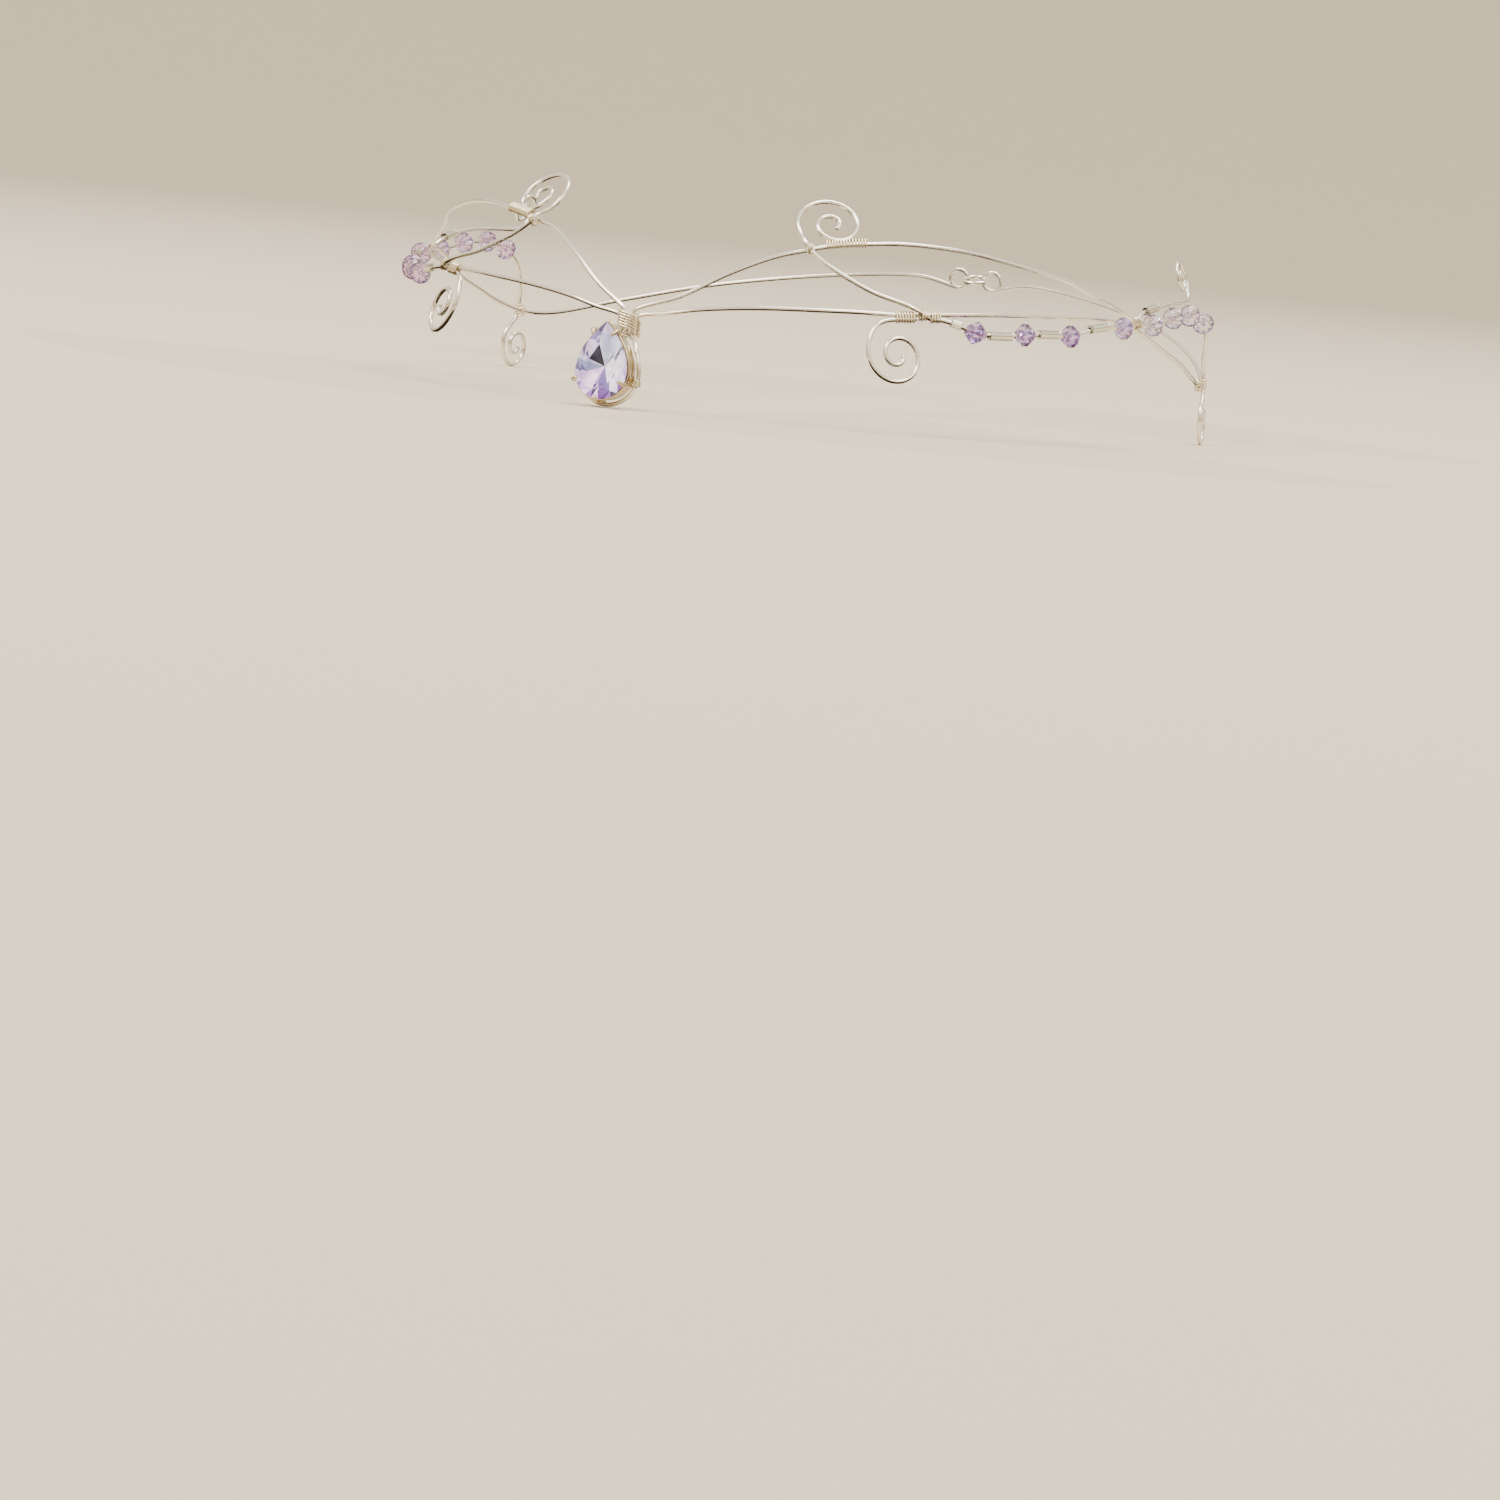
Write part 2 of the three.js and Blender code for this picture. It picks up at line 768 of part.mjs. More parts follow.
// Turn the circlet until the pendant's foot and the rear curls stand on one level
function lowestAt(mesh, angle) {
  const position = mesh.geometry.getAttribute('position');
  const point = new THREE.Vector3();
  let lowest = Infinity;
  for (let index = 0; index < position.count; index++) {
    point.fromBufferAttribute(position, index).applyMatrix4(mesh.matrixWorld);
    lowest = Math.min(lowest, point.y * Math.sin(angle) + point.z * Math.cos(angle));
  }
  return lowest;
}

function restAngle() {
  const halvings = 40;
  circlet.updateMatrixWorld(true);
  let low = 0;
  let high = Math.PI / 2;
  for (let halving = 0; halving < halvings; halving++) {
    const middle = (low + high) / 2;
    if (lowestAt(rearContact, middle) < lowestAt(frameWire, middle)) low = middle;
    else high = middle;
  }
  return low;
}

circlet.rotation.x = restAngle();
circlet.updateMatrixWorld(true);
const bounds = new THREE.Box3().setFromObject(circlet, true);
circlet.position.set(0, -(bounds.min.y + bounds.max.y) / 2, -bounds.min.z);

export default circlet;
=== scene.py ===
"""Wire circlet: a pear crystal in front, and curls and a strand of beads on each side.

Everything is worked out in millimetres on the rounded form that the wires are bent round, then
turned and moved as the circlet rests, and turned to metres as each mesh is made."""

import math

import bpy
from mathutils import Matrix, Vector


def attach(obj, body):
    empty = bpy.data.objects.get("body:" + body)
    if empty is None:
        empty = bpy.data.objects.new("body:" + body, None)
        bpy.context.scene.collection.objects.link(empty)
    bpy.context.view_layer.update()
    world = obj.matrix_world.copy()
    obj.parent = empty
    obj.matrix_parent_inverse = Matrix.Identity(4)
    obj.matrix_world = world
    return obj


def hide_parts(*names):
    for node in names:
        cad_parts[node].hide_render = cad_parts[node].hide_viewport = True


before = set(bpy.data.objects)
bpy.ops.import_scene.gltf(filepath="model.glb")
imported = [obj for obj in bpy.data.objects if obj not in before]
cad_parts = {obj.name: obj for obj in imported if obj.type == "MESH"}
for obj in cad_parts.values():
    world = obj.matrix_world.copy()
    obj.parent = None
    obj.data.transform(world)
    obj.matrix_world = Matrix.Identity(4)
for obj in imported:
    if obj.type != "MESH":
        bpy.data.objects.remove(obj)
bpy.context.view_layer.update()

MM = 0.001

# How the circlet rests: tilted about X until pendant and rear curls touch the floor, then moved,
# in mm. The round wires drawn here reach 0.1 mm lower than the short straight steps of the solids
REST_TILT = math.radians(15.05)
REST_MOVE = Vector((0, 4.20, 0.69))
REST = Matrix.Translation(REST_MOVE) @ Matrix.Rotation(REST_TILT, 4, "X")

# Rounded form that the wires are bent round: half sizes, and how square it is
FORM_HALF_WIDTH = 75
FORM_HALF_LENGTH = 98
FORM_HEIGHT = 68
FORM_FULLNESS = 2.4

# Wires
WIRE = 0.8
BINDING = 0.32
COIL_WIRE = 0.36
WIRE_GAP = 0.12
PITCH = WIRE + WIRE_GAP
WIRE_STEP = 0.7
WIRE_SIDES = 14
BINDING_SIDES = 8
TURN_STEPS = 28
CURL_STEPS = 14

# Pear crystal, its setting and the frame behind it
STONE_WIDTH = 10
STONE_LENGTH = 14
STONE_CROWN = 1.7
STONE_PAVILION = 3.4
STONE_GIRDLE = 0.3
STONE_LEAN = 20
STONE_HEIGHT_SHARE = 0.506
STONE_STAND_OFF = 8.6
SETTING_DEPTH = 4.4
SETTING_WALL = 0.6
SETTING_FLARE = 0.25
SETTING_GAP = 0.25
RIM_BELOW_GIRDLE = 0.3
CLAW = 0.8
FRAME_GAP = 0.5

# Coil above the crystal
COIL_HEIGHT = 7.6
COIL_SET_BACK = 10.2
COIL_TURNS = 6
COIL_PITCH = 0.5

# Beads and glass tubes
BEAD_DIAMETER = 4.3
BEAD_LENGTH = 3.9
BEAD_END = 1.7
BEAD_SIDES = 10
BUGLE_DIAMETER = 1.6
BUGLE_LENGTH = 5.4
SPACER_LENGTH = 2
THREAD_GAP = 0.25
BUGLE_GAP = 0.2
BUGLE_SIDES = 20

# Rings and eyes at the back
EYE_DIAMETER = 4
RING_DIAMETER = 5.2

CROSS_LIFT = PITCH + WIRE_GAP
STRAND_LIFT = BEAD_DIAMETER / 2 - WIRE / 2 + WIRE_GAP
OVER_BEAD = BEAD_DIAMETER / 2 + WIRE / 2 + THREAD_GAP


def linear(hex_colour, alpha=1.0):
    """An sRGB hex colour as linear values."""
    out = []
    for place in (1, 3, 5):
        c = int(hex_colour[place:place + 2], 16) / 255
        out.append(c / 12.92 if c <= 0.04045 else ((c + 0.055) / 1.055) ** 2.4)
    return (*out, alpha)


def add(tree, kind, inputs=None, **settings):
    """Adds one node. An input is a value, or the socket that it is linked to."""
    node = tree.nodes.new(kind)
    for name, value in settings.items():
        setattr(node, name, value)
    for key, value in (inputs or {}).items():
        if isinstance(value, bpy.types.NodeSocket):
            tree.links.new(value, node.inputs[key])
        else:
            node.inputs[key].default_value = value
    return node


def new_material(name):
    material = bpy.data.materials.new(name)
    material.use_nodes = True
    tree = material.node_tree
    tree.nodes.clear()
    return material, tree


def object_noise(tree, size, detail):
    """Noise that is fixed to the object, with features about this many mm across."""
    place = add(tree, "ShaderNodeTexCoord")
    noise = add(tree, "ShaderNodeTexNoise", {
        "Vector": place.outputs["Object"], "Scale": 1 / (size * MM), "Detail": detail,
    })
    return noise.outputs["Fac"]


# Numbers of the colour sockets of a mix node, where several sockets share one name
MIX_LOW = 6
MIX_HIGH = 7
MIX_RESULT = 2


def blend_tones(tree, factor, low, high):
    mix = add(tree, "ShaderNodeMix", {
        "Factor": factor, MIX_LOW: linear(low), MIX_HIGH: linear(high),
    }, data_type="RGBA")
    return mix.outputs[MIX_RESULT]


def add_surface(tree, inputs):
    shader = add(tree, "ShaderNodeBsdfPrincipled", inputs)
    add(tree, "ShaderNodeOutputMaterial", {"Surface": shader.outputs[0]})


# Metals


def plated_wire(name, low, high, rough_low, rough_high):
    """Silver-plated copper wire. Drawing through a die leaves faint lines along it, and the thin
    plating looks a little warmer where it has worn."""
    material, tree = new_material(name)
    # the mesh's map runs in mm along the wire and round it: lines about 0.08 mm apart, drawn out
    along = add(tree, "ShaderNodeUVMap", uv_map="wire")
    stretched = add(tree, "ShaderNodeMapping", {
        "Vector": along.outputs["UV"], "Scale": (0.15, 12, 1),
    })
    lines = add(tree, "ShaderNodeTexNoise", {
        "Vector": stretched.outputs[0], "Scale": 1.0, "Detail": 3.0,
    })
    # worn places some 8 mm long
    worn = add(tree, "ShaderNodeTexNoise", {
        "Vector": along.outputs["UV"], "Scale": 0.12, "Detail": 4.0,
    })
    tone = blend_tones(tree, worn.outputs["Fac"], low, high)
    rough = add(tree, "ShaderNodeMapRange", {
        "Value": lines.outputs["Fac"], "From Min": 0.3, "From Max": 0.7,
        "To Min": rough_low, "To Max": rough_high,
    })
    relief = add(tree, "ShaderNodeBump", {
        "Height": lines.outputs["Fac"], "Strength": 0.08, "Distance": 0.02 * MM,
    })
    add_surface(tree, {
        "Base Color": tone, "Metallic": 1.0, "Roughness": rough.outputs[0],
        "Normal": relief.outputs[0],
    })
    return material


def plated_casting(name, low, high):
    """Thinly plated or lacquered skin. The metal below shows warm through it in patches."""
    material, tree = new_material(name)
    # patches some 3 mm across, and a skin with a grain of about 0.4 mm
    tone = blend_tones(tree, object_noise(tree, 3, 2.0), low, high)
    relief = add(tree, "ShaderNodeBump", {
        "Height": object_noise(tree, 0.4, 3.0), "Strength": 0.12, "Distance": 0.03 * MM,
    })
    add_surface(tree, {
        "Base Color": tone, "Metallic": 1.0, "Roughness": 0.2, "Normal": relief.outputs[0],
    })
    return material


# Glass


def cut_glass(name, low, high, rough, painted_dark_facets=False):
    """Polished glass: clear, with a faint haze from the wheel. With painted facet tones, some
    facets look darker: a painted dark reflection."""
    material, tree = new_material(name)
    # haze with a grain of about 0.3 mm
    haze = add(tree, "ShaderNodeMapRange", {
        "Value": object_noise(tree, 0.3, 2.0), "To Min": rough * 0.5, "To Max": rough * 1.5,
    })
    # tint varies over about 2 mm, as the glass is thicker or thinner there
    tone = blend_tones(tree, object_noise(tree, 2, 1.0), low, high)
    # some facets carry a painted dark reflection, multiplied into the tint
    if painted_dark_facets:
        facet = add(tree, "ShaderNodeAttribute", attribute_name="painted_reflection_tone")
        painted_dark = add(tree, "ShaderNodeVectorMath", {0: tone, 1: facet.outputs["Color"]},
                     operation="MULTIPLY")
        tone = painted_dark.outputs[0]
    add_surface(tree, {
        "Base Color": tone, "Roughness": haze.outputs[0], "IOR": 1.52, "Transmission Weight": 1.0,
    })
    return material


def foil_back():
    """Foil behind the crystal's lower facets. Each facet has its own tone, stored on the mesh: a
    painted reflection of light and shade. It glows by itself, a painted glow in place of the light
    that the cut gathers and gives back."""
    material, tree = new_material("foil_painted_reflections")
    facet = add(tree, "ShaderNodeAttribute", attribute_name="painted_reflection_tone")
    # painted light and shade that wavers over about 1.2 mm, so that each facet shades off
    lift = add(tree, "ShaderNodeMapRange", {
        "Value": object_noise(tree, 1.2, 3.0), "From Min": 0.3, "From Max": 0.7,
        "To Min": 0.72, "To Max": 1.2,
    })
    shade = add(tree, "ShaderNodeVectorMath", {0: facet.outputs["Color"], "Scale": lift.outputs[0]},
                operation="SCALE")
    add_surface(tree, {
        "Base Color": shade.outputs[0], "Metallic": 0.25, "Roughness": 0.1,
        "Emission Color": shade.outputs[0], "Emission Strength": 0.75,
    })
    return material


WIRE_METAL = plated_wire("silver_plated_copper_wire", "#E2DAC8", "#FAF6EC", 0.10, 0.20)
BINDING_METAL = plated_wire("fine_binding_wire", "#DCCBA2", "#FAF0D6", 0.10, 0.22)
CAST_METAL = plated_casting("silver_washed_brass_casting", "#BBA06A", "#E8DFC6")
# Beads on the left strand are lavender near the curls and paler towards the back
LAVENDER_GLASS = cut_glass("lavender_cut_glass", "#B48FD9", "#EDE0FA", 0.02, True)
PALE_GLASS = cut_glass("pale_lavender_cut_glass", "#E2D6EE", "#F8F4FB", 0.02, True)
PINK_GLASS = cut_glass("pink_lavender_cut_glass", "#D6B4E4", "#F0DEF4", 0.02, True)
CLEAR_GLASS = cut_glass("clear_drawn_glass", "#F1F2EC", "#FDFDFA", 0.03)
CROWN_GLASS = cut_glass("lilac_crystal_glass", "#EFE6F9", "#FBF8FE", 0.01)
LINING = plated_wire("silvered_bore", "#DEDCC6", "#F8F6EC", 0.08, 0.2)
# foil with painted facet reflections and a painted glow
FOIL = foil_back()
FOIL_LACQUER = plated_casting("gold_lacquered_foil", "#A98B55", "#D9C79A")


# Shapes. A shape is its vertices in mm on the form, its faces, and how they are finished

PLAIN_TONE = linear("#FFFFFF")


def shape(verts, faces, material=0, smooth=True, uvs=None, painted_tones=None):
    """The material is a number for the whole shape, or a list with one for each face."""
    finish = material if isinstance(material, list) else [material] * len(faces)
    return {"verts": verts, "faces": faces, "finish": finish, "smooth": smooth,
            "uvs": uvs, "painted_tones": painted_tones}


def add_object(name, data):
    made = bpy.data.objects.new(name, data)
    bpy.context.scene.collection.objects.link(made)
    return made


def make_piece(name, shapes, materials, slot, *nodes):
    """One object from its shapes. It rides on the circlet and stands for the nodes."""
    verts, faces, finish, smooth, uvs, painted_tones = [], [], [], [], [], []
    for part in shapes:
        first = len(verts)
        count = len(part["faces"])
        verts += [REST @ Vector(point) * MM for point in part["verts"]]
        faces += [[first + corner for corner in face] for face in part["faces"]]
        finish += part["finish"]
        smooth += [part["smooth"]] * count
        painted_tones += part["painted_tones"] or [PLAIN_TONE] * count
        for corners in part["uvs"] or [[(0, 0)] * len(face) for face in part["faces"]]:
            uvs += corners
    mesh = bpy.data.meshes.new(name)
    mesh.from_pydata(verts, [], faces)
    mesh.polygons.foreach_set("material_index", finish)
    mesh.polygons.foreach_set("use_smooth", smooth)
    layer = mesh.uv_layers.new(name="wire")
    layer.data.foreach_set("uv", [value for pair in uvs for value in pair])
    # the faces' painted reflection tones, for the crystal's foil and the beads' darker facets
    if any(part["painted_tones"] for part in shapes):
        tone = mesh.attributes.new("painted_reflection_tone", "FLOAT_COLOR", "FACE")
        tone.data.foreach_set("color", [value for colour in painted_tones for value in colour])
    for material in materials:
        mesh.materials.append(material)
    mesh.update()
    piece = add_object(name, mesh)
    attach(piece, "root")
    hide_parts(*nodes)
    return piece


def spline(points):
    """Smooth line through the points: a function of the point's number, whole or between."""
    before = points[0] * 2 - points[1]
    after = points[-1] * 2 - points[-2]
    held = [before, *points, after]

    def at(number):
        span = min(int(number), len(points) - 2)
        t = number - span
        x0, x1, x2, x3 = held[span:span + 4]
        d1 = math.sqrt((x2 - x1).length) or 1
        d0 = math.sqrt((x1 - x0).length) or d1
        d2 = math.sqrt((x3 - x2).length) or d1
        m1 = ((x1 - x0) / d0 - (x2 - x0) / (d0 + d1) + (x2 - x1) / d1) * d1
        m2 = ((x2 - x1) / d1 - (x3 - x1) / (d1 + d2) + (x3 - x2) / d2) * d1
        a = x1 * 2 - x2 * 2 + m1 + m2
        b = x2 * 3 - x1 * 3 - m1 * 2 - m2
        return ((a * t + b) * t + m1) * t + x1

    return at


def smooth_path(points, step=WIRE_STEP):
    at = spline(points)
    path = [points[0].copy()]
    for span in range(len(points) - 1):
        cuts = max(1, math.ceil((points[span + 1] - points[span]).length / step))
        path += [at(span + cut / cuts) for cut in range(1, cuts + 1)]
    return path


# Rounded end of a wire: how far beyond its last point and how thick, as shares of its radius
WIRE_END = [(0.55, 0.3), (0.45, 0.66), (0.25, 0.9)]


def band(ring, after, corners):
    """Faces between two rings of a shape, named by their numbers, with equal corners."""
    return [[ring * corners + corner, ring * corners + (corner + 1) % corners,
             after * corners + (corner + 1) % corners, after * corners + corner]
            for corner in range(corners)]


def tube(path, radius, sides=WIRE_SIDES, closed=False):
    """Round wire along a path, with rubbed ends unless it is closed."""
    count = len(path)
    rings = []
    side = None
    travelled = 0
    for i, centre in enumerate(path):
        ahead = path[(i + 1) % count] if closed or i < count - 1 else centre
        behind = path[i - 1] if closed or i > 0 else centre
        tangent = (ahead - behind).normalized()
        side = side or tangent.orthogonal()
        side = (side - tangent * side.dot(tangent)).normalized()
        travelled += (centre - path[i - 1]).length if i else 0
        frame_here = (tangent, side)
        if i == 0 and not closed:
            rings += [(centre - tangent * beyond * radius, thick * radius, frame_here,
                       -beyond * radius) for beyond, thick in WIRE_END]
        rings.append((centre, radius, frame_here, travelled))
        if i == count - 1 and not closed:
            rings += [(centre + tangent * beyond * radius, thick * radius, frame_here,
                       travelled + beyond * radius) for beyond, thick in reversed(WIRE_END)]
    verts = []
    for centre, thick, (tangent, side_way), _ in rings:
        other = tangent.cross(side_way)
        for corner in range(sides):
            turn = corner / sides * math.tau
            verts.append(centre + (side_way * math.cos(turn) + other * math.sin(turn)) * thick)
    faces, uvs = [], []
    around = math.tau * radius / sides
    for ring in range(len(rings) if closed else len(rings) - 1):
        after = (ring + 1) % len(rings)
        u0 = rings[ring][3]
        u1 = rings[after][3] if after else u0
        faces += band(ring, after, sides)
        for corner in range(sides):
            v0 = corner * around
            v1 = (corner + 1) * around
            uvs.append([(u0, v0), (u0, v1), (u1, v1), (u1, v0)])
    if not closed:
        last = (len(rings) - 1) * sides
        faces.append(list(reversed(range(sides))))
        faces.append([last + corner for corner in range(sides)])
        uvs += [[(0, 0)] * sides] * 2
    return shape(verts, faces, uvs=uvs)


def zip_rings(inner, outer, first_inner, first_outer, turn_of):
    """Triangles between two closed rings of different counts, matched by their angle."""
    faces = []
    a, b = 0, 0
    n, m = len(inner), len(outer)
    while a < n or b < m:
        angle_a = turn_of(inner[a % n]) + (math.tau if a >= n else 0)
        angle_b = turn_of(outer[b % m]) + (math.tau if b >= m else 0)
        next_a = turn_of(inner[(a + 1) % n]) + (math.tau if a + 1 >= n else 0)
        next_b = turn_of(outer[(b + 1) % m]) + (math.tau if b + 1 >= m else 0)
        step_inner = b >= m or (a < n and abs(next_a - angle_b) <= abs(next_b - angle_a))
        if step_inner:
            faces.append([first_inner + a % n, first_outer + b % m, first_inner + (a + 1) % n])
            a += 1
        else:
            faces.append([first_inner + a % n, first_outer + b % m, first_outer + (b + 1) % m])
            b += 1
    return faces


# Places on the form


def form_place(side, angle, height_share):
    across = (1 - abs(height_share) ** FORM_FULLNESS) ** (1 / FORM_FULLNESS)
    sin, cos = math.sin(math.radians(angle)), math.cos(math.radians(angle))
    spread = across ** (FORM_FULLNESS - 2)
    point = Vector((side * FORM_HALF_WIDTH * across * sin, -FORM_HALF_LENGTH * across * cos,
                    FORM_HEIGHT * height_share))
    out = Vector((
        spread * point.x / FORM_HALF_WIDTH ** 2,
        spread * point.y / FORM_HALF_LENGTH ** 2,
        math.copysign(abs(height_share) ** (FORM_FULLNESS - 1), height_share) / FORM_HEIGHT,
    )).normalized()
    back = Vector((side * FORM_HALF_WIDTH * cos, FORM_HALF_LENGTH * sin, 0)).normalized()
    up = (Vector((0, 0, 1)) - out * out.z).normalized()
    return point, out, back, up


def route_point(side, row):
    angle, height_share, rise, lift = (*row, 0, 0)[:4]
    point, out, _, up = form_place(side, angle, height_share)
    return point + up * rise + out * lift


def route(side, rows):
    return [route_point(side, row) for row in rows]


def curl_points(side, curl):
    """A flat spiral on the form. Angles run from the back over the top, in degrees."""
    point, out, back, up = form_place(side, curl["angle"], curl["height_share"])
    count = round(curl["sweep"] / 360 * CURL_STEPS)
    points = []
    for step in range(count + 1):
        share = step / count
        turn = math.radians(curl["start"] + share * curl["sweep"])
        radius = curl["first"] + (curl["last"] - curl["first"]) * share ** curl["opening"]
        points.append(point + back * radius * math.cos(turn) + up * radius * math.sin(turn)
                      + out * curl.get("lift", 0))
    return points


# How sharply a fine wire turns at the corners of the bundle that it is wound round
WRAP_SNAP = 3
# How far to each side, in points of a line, its direction is taken
WRAP_REACH = 0.05
BEAD_REACH = 0.02


def turns_round(places, turns, wide, deep, wire, slant=0.0, bow=0.0):
    """Path of a fine wire wound round a bundle. Places are (point, out) at the bundle's two ends
    or more; wide and deep are how far the bundle's outer wires stand from its middle. Slant and
    bow carry each turn along the bundle, in mm, at its side and at its front."""
    axis = spline([point for point, _ in places])
    radius = WIRE / 2 + wire / 2
    steps = round(TURN_STEPS * turns)
    path = []
    for step in range(steps + 1):
        share = step / steps
        turn = share * turns * math.tau
        number = share * (len(places) - 1)
        middle = axis(number)
        nearby = min(number + WRAP_REACH, len(places) - 1)
        along = (axis(nearby) - axis(nearby - 2 * WRAP_REACH)).normalized()
        out = places[0][1].lerp(places[-1][1], share)
        out = (out - along * out.dot(along)).normalized()
        across = out.cross(along)
        x, y = math.cos(turn), math.sin(turn)
        path.append(middle + across * (radius * x + wide * math.tanh(WRAP_SNAP * x))
                    + out * (radius * y + deep * math.tanh(WRAP_SNAP * y))
                    + along * (slant * x + bow * y))
    return path


# Pendant: its own frame has the crystal's middle at 0, +y up its long axis, +z out of its table

stone_foot = form_place(1, 0, STONE_HEIGHT_SHARE)[0]
PENDANT = (Matrix.Translation((0, stone_foot.y - STONE_STAND_OFF, stone_foot.z))
           @ Matrix.Rotation(math.radians(90 - STONE_LEAN), 4, "X"))
FOOT_MIDDLE = (STONE_WIDTH - STONE_LENGTH) / 2
TIP_GROWTH = 1.4


def from_pendant(point):
    return PENDANT @ Vector(point)


def pear_point(turn, margin=0.0, share=1.0, z=0.0):
    """The point of the pear outline in the direction of turn from the foot's middle, shrunk
    towards the culet by the share."""
    radius = STONE_WIDTH / 2 + margin
    rise = STONE_LENGTH / 2 - FOOT_MIDDLE + margin * TIP_GROWTH
    cos, sin = math.cos(turn), math.sin(turn)
    if sin <= 0:
        x, y = radius * cos, radius * sin
    else:
        # where the ray meets the side x = radius (1 - s^2), y = rise s
        a, b = radius * sin, rise * abs(cos)
        s = (-b + math.sqrt(b * b + 4 * a * a)) / (2 * a)
        x, y = math.copysign(radius * (1 - s * s), cos), rise * s
    culet_y = FOOT_MIDDLE / 2
    return Vector((x * share, culet_y + (y + FOOT_MIDDLE - culet_y) * share, z))


def pear_ring(turns, margin, share, z):
    return [pear_point(turn, margin, share, z) for turn in turns]


def turn_of(point):
    """Angle of a point round the foot's middle, from 0 to a full turn."""
    return math.atan2(point[1] - FOOT_MIDDLE / 2, point[0]) % math.tau


# Lower facets seen through the table, from the circlet's left and on over the tip: where each
# ends in degrees round the culet, how far out that corner lies, and the facet's tone, a painted
# reflection: light and shade of the surroundings painted into the facet's colour
FACETS = [
    (14, 0.62, "#FFFFFF"),
    (54, 0.74, "#FFFFFF"),
    (59, 0.86, "#3E4667"),
    (70, 0.92, "#DAE2EF"),
    (98, 0.84, "#BCC9DF"),
    (104, 0.62, "#E3E9F3"),
    (150, 0.62, "#171A2B"),
    (160, 0.93, "#B4BAD4"),
    (192, 0.6, "#868FB0"),
    (210, 0.73, "#DFC0E7"),
    (246, 0.7, "#F6DFF6"),
    (257, 0.5, "#B68CCB"),
    (297, 0.7, "#675790"),
    (330, 0.55, "#F5EEFB"),
    (360, 0.6, "#FFFFFF"),
]
# Narrow facets between those and the girdle, in the same way, their tones also painted reflections
# of light and shade. The tones take turns
RIM_FACETS = [
    (22, ["#FFFFFF", "#E7DAF3", "#FAF6FE"]),
    (76, ["#DCCDEB", "#5E4F80", "#F3ECFA"]),
    (91, ["#D5CBE4"]),
    (106, ["#463A5C", "#8C7FA8"]),
    (200, ["#D2C2E6", "#F6F0FB", "#8E7BB4", "#E4D8F1", "#5C5480"]),
    (250, ["#D2ACE0", "#F5E9FA", "#9A6FB6"]),
    (322, ["#4A2468", "#9468B4", "#2F1745", "#E4CFF0", "#6C3F8A"]),
    (360, ["#F3EAFA", "#C4A8DB", "#FFFFFF"]),
]

CROWN_CORNERS = 24
TABLE_SHARE = 0.66
SHOULDER_SHARE = 0.85
SHOULDER_HEIGHT_SHARE = 0.56
PAVILION_FULLNESS = 0.85
FOIL_SKIN = 0.03
# painted shade along the girdle band
GIRDLE_PAINTED_SHADE = "#433758"


def even_turns(count, phase=0.0):
    """Angles round the pear that start at the tip, so that a corner lies there."""
    return sorted((math.pi / 2 + (i + phase) / count * math.tau) % math.tau for i in range(count))


